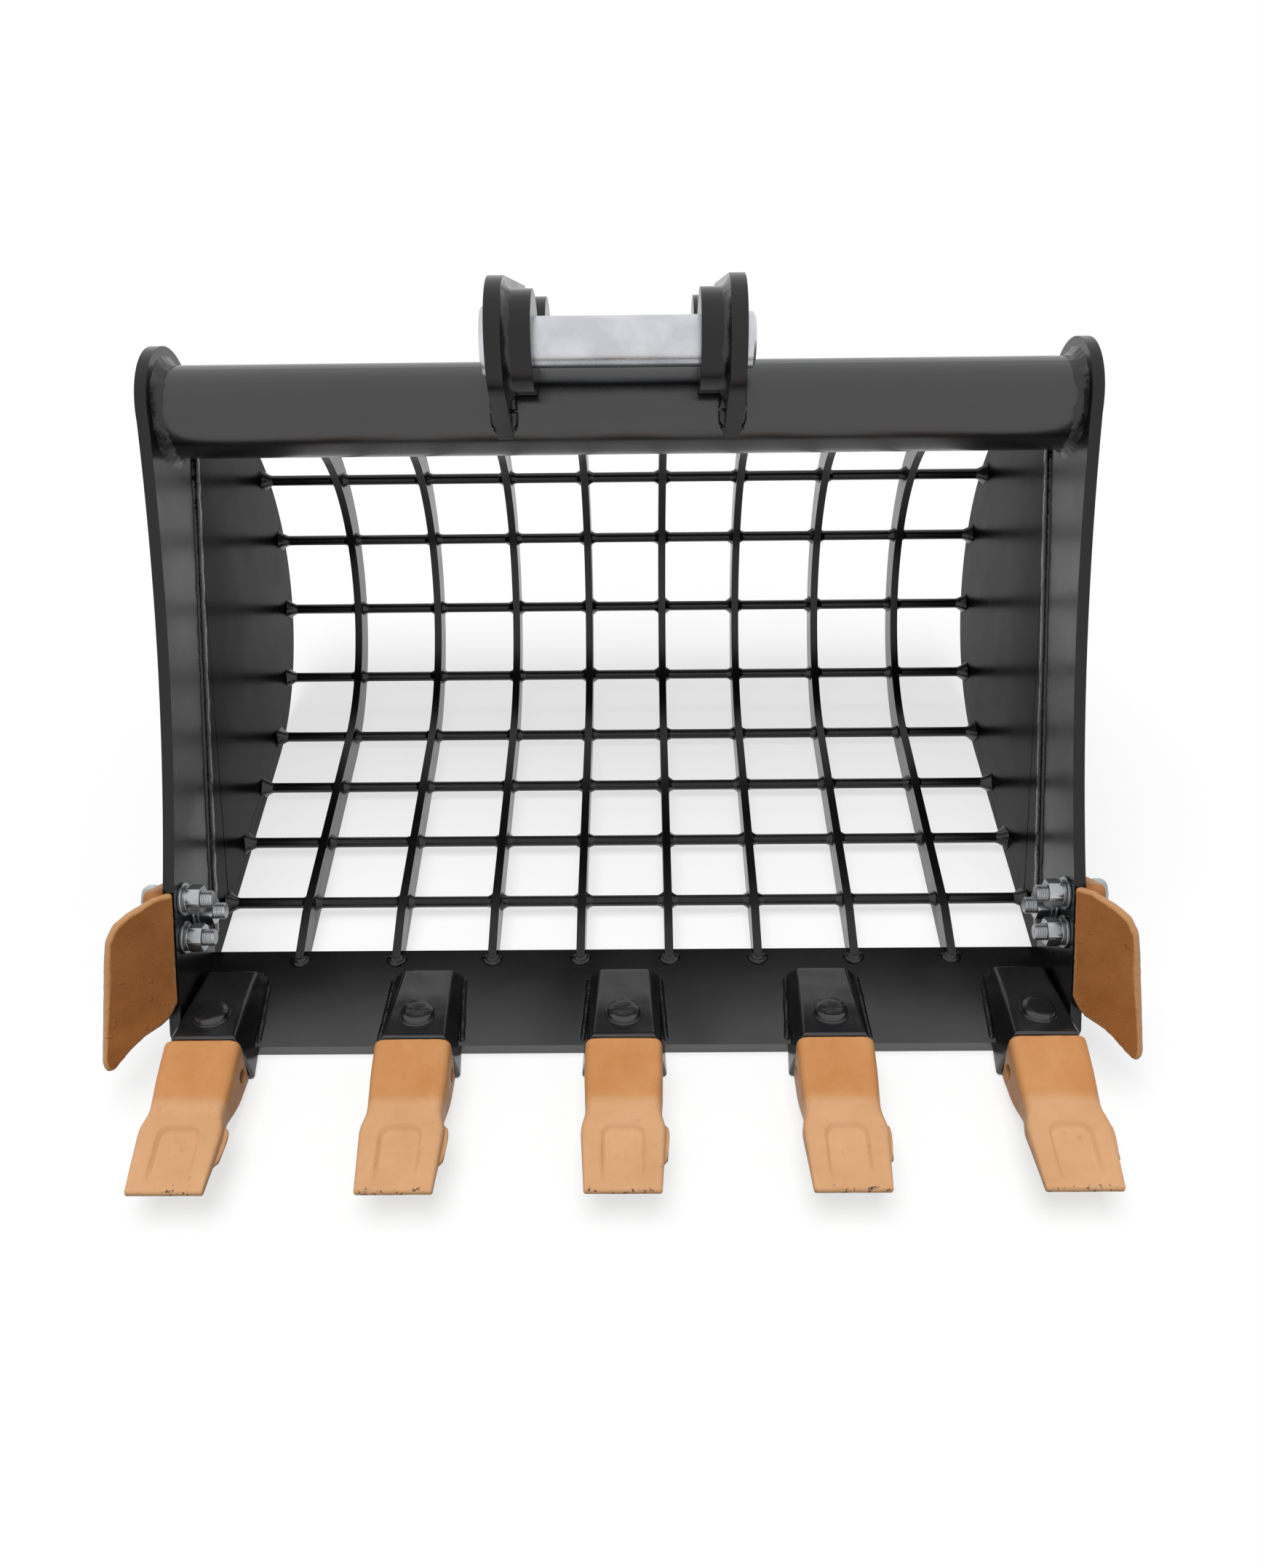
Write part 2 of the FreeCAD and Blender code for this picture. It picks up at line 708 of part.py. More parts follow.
def make_cutter():
    inward = by_edge(math.sin(flare), 0, -math.cos(flare)) - by_edge(0, 0, 0)
    outline = [on_blade(reach, along) for reach, along in blade_outline()]
    blade = polygon_prism(outline, inward * cutter_thickness)
    x, edge = outer_x, cutter_edge_gap
    corner = cutter_thickness * math.tan(flare) + edge
    bar_side = [by_edge(px, -cutter_tip_run, out) for px, out in
                ((0, -cutter_tip_run), (x, -cutter_tip_run), (x, edge), (0, edge))]
    blade = blade.cut(polygon_prism(bar_side, (by_edge(0, 1, 0) - by_edge(0, 0, 0))
                                    * (3 * cutter_tip_run)))
    flange = polygon_prism([by_edge(x, along, out) for along, out in flange_outline()],
                           V(cutter_thickness, 0, 0))
    above = [by_edge(px, -cutter_tip_run, out) for px, out in
             ((x, edge), (x + cutter_thickness, corner),
              (x + cutter_thickness, 2 * corner), (x, 2 * corner))]
    flange = flange.cut(polygon_prism(above, (by_edge(0, 1, 0) - by_edge(0, 0, 0))
                                      * (3 * cutter_tip_run)))
    shape = blade.fuse(flange).removeSplitter()
    return shape.cut(bolt_holes(outer_x - cut_over, outer_x + cutter_thickness + cut_over))


# ---- bolts of the side cutters ----
def fastener_stack():
    """Inner faces of the washer, spring washer and nut, from the wall inwards."""
    washer = inner_x - washer_thickness
    spring = washer - spring_washer_thickness
    return washer, spring, spring - nut_height


def make_bolt(y, z):
    head_x = outer_x + cutter_thickness
    end_x = fastener_stack()[2] - bolt_end_stickout
    shank = disc(y, z, bolt_diameter / 2, end_x, head_x)
    return shank.fuse(hexagon(y, z, nut_flats, head_x, head_x + bolt_head_height))


def ring(y, z, radius, hole, x0, x1):
    return disc(y, z, radius, x0, x1).cut(disc(y, z, hole, x0 - cut_over, x1 + cut_over))


def make_washer(y, z):
    hole = bolt_diameter / 2 + bolt_hole_clearance
    return ring(y, z, washer_radius, hole, fastener_stack()[0], inner_x)


def make_spring_washer(y, z):
    washer, spring, _ = fastener_stack()
    hole = bolt_diameter / 2 + bolt_hole_clearance
    return ring(y, z, spring_washer_radius, hole, spring, washer)


def make_nut(y, z):
    _, spring, end = fastener_stack()
    hole = disc(y, z, bolt_diameter / 2 + nut_clearance, end - cut_over, spring + cut_over)
    flat_radius = nut_flats / 2
    rounded = Part.makeCone(flat_radius, flat_radius + nut_height, nut_height,
                            V(end, y, z), V(1, 0, 0))
    return hexagon(y, z, nut_flats, end, spring).common(rounded).cut(hole)


def both_sides(maker):
    shapes = [maker(y, z) for y, z in bolt_centres()]
    return shapes + [mirrored(shape) for shape in shapes]


def save_pair(name, shape):
    save("right_" + name, [shape])
    save("left_" + name, [mirrored(shape)])


# ---- shell ----
rib_xs = [-x for x in reversed(rib_offsets)] + list(rib_offsets)
for number, rib_x in enumerate(rib_xs, 1):
    save("rib_%d" % number, [make_rib(rib_x)])
save("rib_end_welds", [make_rib_weld(rib_x) for rib_x in rib_xs])
for number in range(1, rod_count + 1):
    end_x = plate_outer_x + rod_stickout
    y, z = rod_place(rod_count - number)
    save("rod_%d" % number, [disc(y, z, rod_radius, -end_x, end_x)])
save_pair("side_plate", make_side_plate())
save_pair("side_bar", make_side_bar())
seam_bead = make_seam_bead()
save("seam_welds", [seam_bead, mirrored(seam_bead)])
save("torsion_tube", [make_tube()])
tube_weld = make_tube_weld()
save("tube_welds", [tube_weld, mirrored(tube_weld)])
save("back_plate", [make_back_plate()])
save("cutting_edge", [box(-outer_x, outer_x, lip_front, lip_rear, 0, lip_thickness)])

# ---- hanger ----
save_pair("ear", make_ear())
save_pair("front_boss", make_boss(front_pin_y, front_pin_z, front_gap))
save_pair("rear_boss", make_boss(rear_pin_y, rear_pin_z, rear_gap))
boss_welds = [make_boss_weld(front_pin_y, front_pin_z), make_boss_weld(rear_pin_y, rear_pin_z)]
save("boss_welds", boss_welds + [mirrored(weld) for weld in boss_welds])
save("front_pin", [make_pin()])
save("pin_collar", [make_collar()])

# ---- teeth on their adapters ----
adapter = make_adapter()
tooth = make_tooth()
tooth_pin = make_tooth_pin()
for number, tooth_x in enumerate(tooth_offsets(), 1):
    seated = place(adapter, tooth_x)
    if number in (1, tooth_count):
        seated = seated.cut(corner_trim(1 if number > 1 else -1))
    save("adapter_%d" % number, [seated])
    save("tooth_%d" % number, [place(tooth, tooth_x)])
    save("tooth_pin_%d" % number, [place(tooth_pin, tooth_x)])

# ---- side cutters ----
save_pair("side_cutter", make_cutter())
save("cutter_bolts", both_sides(make_bolt))
save("cutter_washers", both_sides(make_washer))
save("cutter_spring_washers", both_sides(make_spring_washer))
save("cutter_nuts", both_sides(make_nut))
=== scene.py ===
import json
import math

import bpy
from mathutils import Matrix, Vector, noise

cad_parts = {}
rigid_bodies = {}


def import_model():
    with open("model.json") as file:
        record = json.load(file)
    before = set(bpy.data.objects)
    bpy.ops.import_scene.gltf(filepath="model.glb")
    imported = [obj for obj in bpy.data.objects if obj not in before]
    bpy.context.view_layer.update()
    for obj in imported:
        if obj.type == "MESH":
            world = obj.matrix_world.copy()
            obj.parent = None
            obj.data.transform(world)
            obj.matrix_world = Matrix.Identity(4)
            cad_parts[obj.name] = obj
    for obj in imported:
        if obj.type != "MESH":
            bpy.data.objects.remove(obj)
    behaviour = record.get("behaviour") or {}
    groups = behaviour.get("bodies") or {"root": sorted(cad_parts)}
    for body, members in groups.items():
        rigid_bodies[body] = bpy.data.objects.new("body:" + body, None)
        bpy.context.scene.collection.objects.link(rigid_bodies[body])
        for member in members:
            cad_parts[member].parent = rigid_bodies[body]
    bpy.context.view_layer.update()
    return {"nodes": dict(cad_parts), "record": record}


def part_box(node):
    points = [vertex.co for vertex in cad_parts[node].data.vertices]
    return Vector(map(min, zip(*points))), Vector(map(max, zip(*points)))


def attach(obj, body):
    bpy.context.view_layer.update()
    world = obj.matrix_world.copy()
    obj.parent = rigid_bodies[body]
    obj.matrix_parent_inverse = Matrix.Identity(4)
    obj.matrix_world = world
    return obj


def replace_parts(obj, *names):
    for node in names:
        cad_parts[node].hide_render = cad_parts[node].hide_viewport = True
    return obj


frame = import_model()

scene = bpy.context.scene

# ---- driving values of the view ----
image_height = 2155.0
focal_pixels = 1650.0
sensor_width = 36.0
camera_x = 0.0270
camera_reach = 100.0
camera_setback = 1.041
camera_height = 1.396
camera_pitch = math.radians(45.06)
camera_yaw = math.radians(-0.53)
camera_roll = math.radians(0.45)

# ---- driving values of the studio ----
# What sees the floor gets floor_mix of its own white and the rest as lit paint, and the two
# come to about 1. The other rays meet a plain grey floor.
floor_size = 60.0
floor_seen = 0.62
floor_grey = 0.22
floor_white = 1.38
floor_mix = 0.50
sky_colour = (0.98, 0.985, 1.0)
sky_light = 0.30
sky_seen = 1.0
sun_from = (-0.10, 0.04, 1.0)
sun_angle = 46.0
sun_strength = 2.35


# ---- node helpers ----
def node_of(tree, kind, **values):
    """Adds a shader node and sets its properties or its inputs by name."""
    node = tree.nodes.new(kind)
    for key, value in values.items():
        if hasattr(node, key):
            setattr(node, key, value)
        else:
            node.inputs[key.replace("_", " ")].default_value = value
    return node


def new_material(name, specular=0.5, metal=0.0):
    """A material, its node tree and its shader."""
    material = bpy.data.materials.new(name)
    material.use_nodes = True
    tree = material.node_tree
    shader = tree.nodes["Principled BSDF"]
    shader.inputs["Specular IOR Level"].default_value = specular
    shader.inputs["Metallic"].default_value = metal
    return material, tree, shader


def position_noise(tree, scale, detail, roughness=0.5):
    """Noise that stays on the piece: it reads the object's own coordinates."""
    place = tree.nodes.new("ShaderNodeTexCoord")
    cloud = node_of(tree, "ShaderNodeTexNoise", Scale=scale, Detail=detail, Roughness=roughness)
    tree.links.new(place.outputs["Object"], cloud.inputs["Vector"])
    return cloud.outputs["Fac"]


def remap(tree, value, low, high, to_low, to_high):
    """A value carried from one range over to another."""
    node = node_of(tree, "ShaderNodeMapRange", From_Min=low, From_Max=high,
                   To_Min=to_low, To_Max=to_high)
    tree.links.new(value, node.inputs["Value"])
    return node.outputs["Result"]


def colour_mix(tree, factor, first, second):
    """Mix of two colours, each a tuple or a socket."""
    node = node_of(tree, "ShaderNodeMix", data_type="RGBA")
    tree.links.new(factor, node.inputs["Factor"])
    for socket, colour in ((node.inputs[6], first), (node.inputs[7], second)):
        if isinstance(colour, tuple):
            socket.default_value = (*colour, 1.0)
        else:
            tree.links.new(colour, socket)
    return node.outputs[2]


def add_bump(tree, shader, height, distance, strength=1.0, under=None):
    """Adds relief to a shader, on top of the relief under it where there is one."""
    bump = node_of(tree, "ShaderNodeBump", Distance=distance, Strength=strength)
    tree.links.new(height, bump.inputs["Height"])
    if under is not None:
        tree.links.new(under, bump.inputs["Normal"])
    tree.links.new(bump.outputs["Normal"], shader.inputs["Normal"])
    return bump.outputs["Normal"]


# ---- materials ----
black_tones = ((0.0030, 0.0029, 0.0033), (0.0060, 0.0058, 0.0062))
black_roughness = 0.17
casting_tones = ((0.56, 0.235, 0.075), (0.64, 0.31, 0.125))
# Lighter, paler copy of the casting tones for the tooth's front part: painted sheen.
blade_sheen_tones = ((0.64, 0.34, 0.16), (0.72, 0.41, 0.21))
grime_tone = (0.36, 0.17, 0.07)
bare_tone = (0.075, 0.062, 0.055)
cutter_tones = ((0.285, 0.098, 0.019), (0.40, 0.155, 0.040))
cut_edge_tone = (0.54, 0.275, 0.115)
steel_tones = ((0.05, 0.045, 0.04), (0.16, 0.145, 0.13))
zinc_tones = ((0.58, 0.59, 0.62), (0.68, 0.69, 0.72))
fastener_tones = ((0.36, 0.38, 0.39), (0.50, 0.52, 0.53))
wear_weight = 0.16


def black_paint(name, grain, grain_depth, wear, grey, specular):
    """Semi-gloss black paint, with a faint dust tone and an uneven film."""
    material, tree, shader = new_material(name, specular)
    cloud = position_noise(tree, 9.0, 5.0, 0.6)
    tone = remap(tree, cloud, 0.35, 0.75, 0.0, 1.0)
    dark, dusty = [tuple(part * grey for part in shade) for shade in black_tones]
    colour = colour_mix(tree, tone, dark, dusty)
    tree.links.new(colour, shader.inputs["Base Color"])
    patches = position_noise(tree, 11.0, 3.0, 0.5)
    gloss = remap(tree, patches, 0.2, 0.8, black_roughness, black_roughness + wear)
    tree.links.new(gloss, shader.inputs["Roughness"])
    skin = add_bump(tree, shader, position_noise(tree, grain, 3.0), grain_depth)
    add_bump(tree, shader, position_noise(tree, 14.0, 1.0), 0.0010, 0.25, skin)
    return material


def wear_mask(tree, scale, low, high):
    """Spots where the paint is off: fine noise, more of it where the piece is worn."""
    worn = node_of(tree, "ShaderNodeAttribute", attribute_name="wear")
    spots = position_noise(tree, scale, 6.0, 0.65)
    lift = node_of(tree, "ShaderNodeMath", operation="MULTIPLY_ADD")
    tree.links.new(worn.outputs["Fac"], lift.inputs[0])
    lift.inputs[1].default_value = wear_weight
    tree.links.new(spots, lift.inputs[2])
    return remap(tree, lift.outputs[0], low, high, 0.0, 1.0)


def orange_paint():
    """Satin orange tan paint on a casting, chipped at the tips and corners; lighter and paler
    toward the tip, which is painted sheen.
    """
    material, tree, shader = new_material("orange_paint", 0.35)
    cloud = position_noise(tree, 14.0, 6.0, 0.6)
    tone = remap(tree, cloud, 0.3, 0.7, 0.0, 1.0)
    rear = colour_mix(tree, tone, *casting_tones)
    # front is the lighter, paler copy, painted sheen; the blade share blends it in toward the
    # tooth's tip.
    front = colour_mix(tree, tone, *blade_sheen_tones)
    blade = node_of(tree, "ShaderNodeAttribute", attribute_name="blade")
    paint = colour_mix(tree, blade.outputs["Fac"], rear, front)
    grime = remap(tree, position_noise(tree, 55.0, 8.0, 0.7), 0.60, 0.72, 0.0, 0.45)
    dirty = colour_mix(tree, grime, paint, grime_tone)
    bare = wear_mask(tree, 150.0, 0.735, 0.76)
    colour = colour_mix(tree, bare, dirty, bare_tone)
    tree.links.new(colour, shader.inputs["Base Color"])
    gloss = remap(tree, position_noise(tree, 40.0, 5.0), 0.3, 0.7, 0.40, 0.58)
    tree.links.new(gloss, shader.inputs["Roughness"])
    skin = add_bump(tree, shader, position_noise(tree, 420.0, 3.0), 0.0004)
    skin = add_bump(tree, shader, position_noise(tree, 35.0, 3.0), 0.0012, 0.5, skin)
    add_bump(tree, shader, remap(tree, bare, 0.0, 1.0, 1.0, 0.0), 0.0003, 0.6, skin)
    return material


def cutter_paint():
    """The same paint, thin and brown on the rolled faces, fresh on the flame-cut edges."""
    material, tree, shader = new_material("cutter_paint", 0.3)
    cloud = position_noise(tree, 16.0, 6.0, 0.6)
    tone = remap(tree, cloud, 0.3, 0.7, 0.0, 1.0)
    face = colour_mix(tree, tone, *cutter_tones)
    edge = node_of(tree, "ShaderNodeAttribute", attribute_name="wear")
    colour = colour_mix(tree, edge.outputs["Fac"], face, cut_edge_tone)
    tree.links.new(colour, shader.inputs["Base Color"])
    shader.inputs["Roughness"].default_value = 0.48
    skin = add_bump(tree, shader, position_noise(tree, 380.0, 3.0), 0.0004)
    pits = remap(tree, position_noise(tree, 75.0, 4.0, 0.4), 0.66, 0.70, 0.0, 1.0)
    add_bump(tree, shader, pits, 0.0008, 0.7, skin)
    return material


def zinc(name, dull, bright, gloss_low, gloss_high):
    """Zinc plate with fine cloudy stains."""
    material, tree, shader = new_material(name, metal=1.0)
    tone = remap(tree, position_noise(tree, 22.0, 3.0, 0.5), 0.4, 0.6, 0.0, 1.0)
    tree.links.new(colour_mix(tree, tone, dull, bright), shader.inputs["Base Color"])
    gloss = remap(tree, position_noise(tree, 60.0, 3.0), 0.3, 0.7, gloss_low, gloss_high)
    tree.links.new(gloss, shader.inputs["Roughness"])
    return material


def pin_steel():
    """Dark plain steel with stains."""
    material, tree, shader = new_material("pin_steel", metal=0.85)
    tone = remap(tree, position_noise(tree, 160.0, 5.0), 0.35, 0.7, 0.0, 1.0)
    colour = colour_mix(tree, tone, *steel_tones)
    tree.links.new(colour, shader.inputs["Base Color"])
    shader.inputs["Roughness"].default_value = 0.5
    add_bump(tree, shader, position_noise(tree, 400.0, 3.0), 0.0002)
    return material


# Grain per metre, its depth, spread of the roughness, share of the tone, specular level.
black_films = {
    "black_paint": (650.0, 0.00006, 0.12, 1.0, 0.42),
    "gloss_black": (650.0, 0.00006, 0.10, 1.0, 0.95),
    "bar_black": (650.0, 0.00006, 0.14, 1.0, 0.40),
    # Darker, nearly unreflective copy for the side plates: painted shade.
    "painted_shade_black": (650.0, 0.00006, 0.14, 0.65, 0.03),
    "cast_black": (300.0, 0.0001, 0.12, 2.5, 0.85),
    "weld_black": (260.0, 0.0005, 0.12, 1.0, 0.6),
}
materials = {name: black_paint(name, *film) for name, film in black_films.items()}
materials |= {
    "orange_paint": orange_paint(),
    "cutter_paint": cutter_paint(),
    "zinc": zinc("zinc", *zinc_tones, 0.24, 0.30),
    "fastener_zinc": zinc("fastener_zinc", *fastener_tones, 0.26, 0.36),
    "pin_steel": pin_steel(),
}

# The black paint as it looks on these pieces in the photograph.
gloss_and_painted_shade = {
    "torsion_tube": "gloss_black", "cutting_edge": "gloss_black",
    "left_side_bar": "bar_black", "right_side_bar": "bar_black",
    # The side plates' copy is darker and nearly unreflective: painted shade.
    "left_side_plate": "painted_shade_black", "right_side_plate": "painted_shade_black",
}


def dress_nodes():
    """Every carried-over node gets the material of its slot, in the gloss listed for it; the side
    plates' darker copy is painted shade.
    """
    for part in frame["record"]["subparts"]:
        piece = frame["nodes"][part["node"]]
        piece.data.materials.clear()
        name = gloss_and_painted_shade.get(part["node"], part["material_slot"])
        piece.data.materials.append(materials[name])


dress_nodes()


# ---- driving values of the pieces, in metres ----
tooth_tilt = math.radians(15.0)
tooth_pitch = 0.2725
adapter_reach = 0.020
adapter_length = 0.113
adapter_rise = 0.052
adapter_rear_rise = 0.0165
adapter_rear_half = (0.049, 0.033)
adapter_front_half = (0.0565, 0.0415)
pad_radius = 0.0218
pad_height = 0.0068
pad_setback = 0.043
tooth_gap = 0.0015
tooth_length = 0.190
tooth_height = 0.0715
tooth_pin_place = (0.020, 0.046)
tooth_pin_radius = 0.009
tooth_halves = ((0.0, 0.0500), (0.041, 0.0500), (0.090, 0.0475), (0.1115, 0.0527),
                (tooth_length, 0.0468))
tooth_tops = ((0.0, 0.0), (0.0765, 0.0320), (tooth_length, 0.0680))
tooth_floors = ((0.0, tooth_height), (0.054, 0.0730), (0.103, 0.0625), (tooth_length, 0.0765))
tooth_end_round = 0.0035
tooth_ring_step = 0.0026
tooth_base_round = 0.005
tooth_top_round = 0.0135
tooth_top_round_loss = 0.0065
tooth_side_counts = (14, 34, 14, 14)
tooth_skin = ((90.0, 0.0004), (30.0, 0.0005))
# Run over which the tooth's colour turns to the painted sheen tone.
tooth_sheen_start = (0.068, 0.085)
tooth_tip_wear = 0.012
tooth_corner_wear = 0.55
drill_clearance = 0.0004
drill_half = 0.08
pocket_half = 0.0265
pocket_start = 0.109
pocket_corner = 0.014
pocket_wall = 0.0026
pocket_depth = 0.0060
pocket_fade = (0.150, 0.188)
lug_runs = ((0.101, 0.106), (0.148, 0.152))
lug_drops = ((0.009, 0.013), (0.022, 0.026))
lug_height = 0.0045
adapter_end_round = 0.004
adapter_ring_step = 0.004
adapter_side_counts = (8, 16, 8, 8)
adapter_base_round = 0.002
adapter_top_round = 0.0065
adapter_top_round_loss = 0.001
adapter_crown = 0.0018
adapter_crown_place = 0.56
adapter_skin = ((35.0, 0.0005), (160.0, 0.0001))
pad_points = 40
pad_skin = ((220.0, 0.0005),)

# ---- driving values of the welds ----
weld_step = 0.0022
weld_sink = 0.0006
bead_points = 10
bead_end_share = 0.55
bead_ripple = 0.07
bead_ripple_pitch = 0.0045
bead_swell = 0.18
bead_roughness = 0.10
fillet_steps = 6
fillet_hollow = 0.16
fillet_root = 0.001
turned_skin = ((55.0, 1.0), (170.0, 0.5))
tube_weld_points = 220
tube_weld_leg = 0.014
tube_weld_skin = 0.0011
boss_weld_points = 120
boss_weld_leg = 0.011
boss_weld_skin = 0.0008
seam_start = 0.008
seam_end = 0.012
seam_bead_radius = 0.0125
seam_flatness = 0.38
ear_toe_angle = 169
ear_heel_angle = 20
ear_bead_radius = 0.0064
rib_end_passes = ((0.0005, 0.0015), (0.0042, -0.0015))
rib_end_setback = 0.006
rib_end_bead_radius = 0.0047
rib_tack_leg = 0.0075
plate_tack_leg = 0.0125
tack_points = 16
tack_length_share = 1.4
tack_hollow = 1.6
adapter_bead_radius = 0.0042
adapter_weld_margin = 0.006
adapter_weld_sink = 0.0016
adapter_rear_weld_half = 0.041

# ---- driving values of the side cutters, the fasteners and the hanger pin ----
cutter_flare = math.radians(42.0)
cutter_thickness = 0.020
cutter_edge_gap = 0.0003
blade_thickness = 0.016
blade_start = -0.006
blade_sizes = {-1: (0.091, 0.210), 1: (0.084, 0.204)}
blade_root = -0.004
blade_lower_end = 0.140
blade_step = 0.0022
blade_rounds = 2
flange_start = -0.009
flange_step = 0.004
flange_rounds = 6
flange_edge = 0.002
knee_lead = 0.0405
knee_height = 0.1918
bar_thickness = 0.015
bolt_first = 0.0095
bolt_spacing = 0.052
bolt_edge_distance = 0.030
bolt_radius = 0.011
bolt_stack = 0.041
bolt_stickout = 0.014
bolt_head_height = 0.014
washer_radius = 0.022
washer_thickness = 0.004
spring_radius = 0.018
stack_to_nut = 0.009
nut_flats = 0.034
thread_pitch = 0.0025
head_thickness = 0.0095
pin_radius = 0.030
pin_clearance = 0.00006
pin_chamfer = 0.0025
pin_edge = 0.002
pin_points = 128
cap_radius = 0.01
round_points = 72
round_cap_share = 0.3
washer_edge = 0.0008
spring_edge = 0.001
hex_round_share = 0.52
hex_face_share = 0.97
hex_rim_share = 0.14
thread_lead = 0.001
thread_chamfer = 0.0015
thread_crest = 0.0003
thread_root = -0.0006
plate_edge = 0.0012
rib_edge = 0.0008
merge_distance = 0.00002
bevel_angle = 32.0
crisp_angle = 28.0


# ---- places read from the frame ----
def round_place(node):
    """Centre (y, z) and radius of a round node that lies along X."""
    low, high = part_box(node)
    return ((low.y + high.y) / 2, (low.z + high.z) / 2), (high.z - low.z) / 2


rib_names = [f"rib_{number}" for number in range(1, 9)]
boss_names = ("left_front_boss", "right_front_boss", "left_rear_boss", "right_rear_boss")
lip_low, lip_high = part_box("cutting_edge")
lip_rear, lip_front, lip_top = lip_high.y, lip_low.y, lip_high.z
outer_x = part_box("right_side_bar")[1].x
inner_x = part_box("right_side_bar")[0].x
tube_place, tube_radius = round_place("torsion_tube")
knee = (lip_rear - knee_lead, knee_height)
bar_toe = (lip_front + 0.001, lip_top + 0.025)
bar_run = math.dist(knee, bar_toe)
bar_down = ((bar_toe[0] - knee[0]) / bar_run, (bar_toe[1] - knee[1]) / bar_run)
bar_out = (bar_down[1], -bar_down[0])
cutter_rise = (cutter_edge_gap + cutter_thickness / math.cos(cutter_flare)
               - bar_thickness * math.tan(cutter_flare))
bolt_end_x = inner_x - bolt_stack
face_y = lip_front - adapter_reach
face_z = lip_top + adapter_rise


# ---- mesh helpers ----
def add_piece(name, points, faces, material, body="bucket", **shares):
    """A smooth mesh piece on a body; each share is a value per point for its material."""
    mesh = bpy.data.meshes.new(name)
    mesh.from_pydata([tuple(point) for point in points], [], faces)
    mesh.validate()
    mesh.shade_smooth()
    for share, amounts in shares.items():
        mesh.attributes.new(share, "FLOAT", "POINT").data.foreach_set("value", amounts)
    piece = bpy.data.objects.new(name, mesh)
    scene.collection.objects.link(piece)
    mesh.materials.append(materials[material])
    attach(piece, body)
    return piece


def ring_faces(rings, size, first=0):
    """Quads between neighbouring rings of points, each ring closed."""
    faces = []
    for ring in range(rings - 1):
        start = first + ring * size
        after = start + size
        for i in range(size):
            j = (i + 1) % size
            faces.append((start + i, start + j, after + j, after + i))
    return faces


def capped_faces(rings, size, first=0):
    """Quads between closed rings, and a cap on the first ring and on the last."""
    last = first + (rings - 1) * size
    caps = [tuple(reversed(range(first, first + size))), tuple(range(last, last + size))]
    return ring_faces(rings, size, first) + caps


def facing(faces, way):
    """The faces as they are, or turned over where the way is negative."""
    return [tuple(reversed(face)) for face in faces] if way < 0 else faces


def turns(count):
    """Even turns round a full circle, from 0."""
    return [math.tau * i / count for i in range(count)]


def on_round(x, centre, radius, turn):
    """Point at a turn on a circle round X, whose centre is (y, z)."""
    return Vector((x, centre[0] + radius * math.cos(turn), centre[1] + radius * math.sin(turn)))


def skin_at(place, waves):
    """Unevenness of a surface at a place, from waves of (frequency, depth)."""
    return sum(noise.noise(place * frequency) * depth for frequency, depth in waves)


def along_steps(pairs, value):
    """Value of a profile of straight runs between its steps."""
    for (a, low), (b, high) in zip(pairs, pairs[1:]):
        if value <= b:
            share = max(0.0, (value - a) / (b - a))
            return low + (high - low) * share
    return pairs[-1][1]


def eased(pairs, value, reach=0.006):
    """Mean of the profile around a value, which rounds its corners."""
    samples = 7
    total = sum(along_steps(pairs, value + reach * (2 * i / (samples - 1) - 1))
                for i in range(samples))
    return total / samples


def smooth_share(value, low, high):
    """0 below the low value and 1 above the high one, with an eased rise between."""
    share = min(1.0, max(0.0, (value - low) / (high - low)))
    return share * share * (3 - 2 * share)


def end_inset(run, length, radius):
    """Inset at a run along a length whose two ends are rounded."""
    depth = radius - min(run, length - run, radius)
    return radius - math.sqrt(radius * radius - depth * depth)


def run_steps(length, radius, step):
    """Runs from 0 to a length, close together near both rounded ends."""
    ends = [radius * (1 - math.cos(math.radians(turn))) for turn in range(0, 90, 18)]
    count = max(2, round((length - 2 * radius) / step))
    inner = [radius + (length - 2 * radius) * i / count for i in range(count + 1)]
    return ends + inner + [length - end for end in reversed(ends)]


def side_points(start, end, count):
    """Even points from a start up to, but without, an end."""
    return [start + (end - start) * i / count for i in range(count)]


def round_quad(top_half, base_half, height, top_round, base_round, counts):
    """Rounded four-sided section as (x, height) points, from the lower left, clockwise."""
    corners = [(-base_half, 0.0, base_round), (-top_half, height, top_round),
               (top_half, height, top_round), (base_half, 0.0, base_round)]
    points = []
    for i, (x, z, radius) in enumerate(corners):
        here = Vector((x, z))
        before = (Vector(corners[i - 1][:2]) - here).normalized()
        after = (Vector(corners[(i + 1) % 4][:2]) - here).normalized()
        bend = before.angle(after)
        reach = radius / math.tan(bend / 2)
        start, end = here + before * reach, here + after * reach
        for k in range(5):
            share = k / 4
            points.append(start.lerp(here, share).lerp(here.lerp(end, share), share))
        follow = Vector(corners[(i + 1) % 4][:2])
        back = (here - follow).normalized()
        next_radius = corners[(i + 1) % 4][2]
        angle = (here - follow).angle(Vector(corners[(i + 2) % 4][:2]) - follow)
        stop = follow + back * (next_radius / math.tan(angle / 2))
        for k in range(1, counts[i]):
            points.append(end.lerp(stop, k / counts[i]))
    return points


# ---- teeth ----
def nose_place(x, run, depth):
    """Row point of the nose's frame: run forward, depth down from the face's top edge."""
    cos, sin = math.cos(tooth_tilt), math.sin(tooth_tilt)
    return Vector((x, face_y - run * cos - depth * sin, face_z + run * sin - depth * cos))


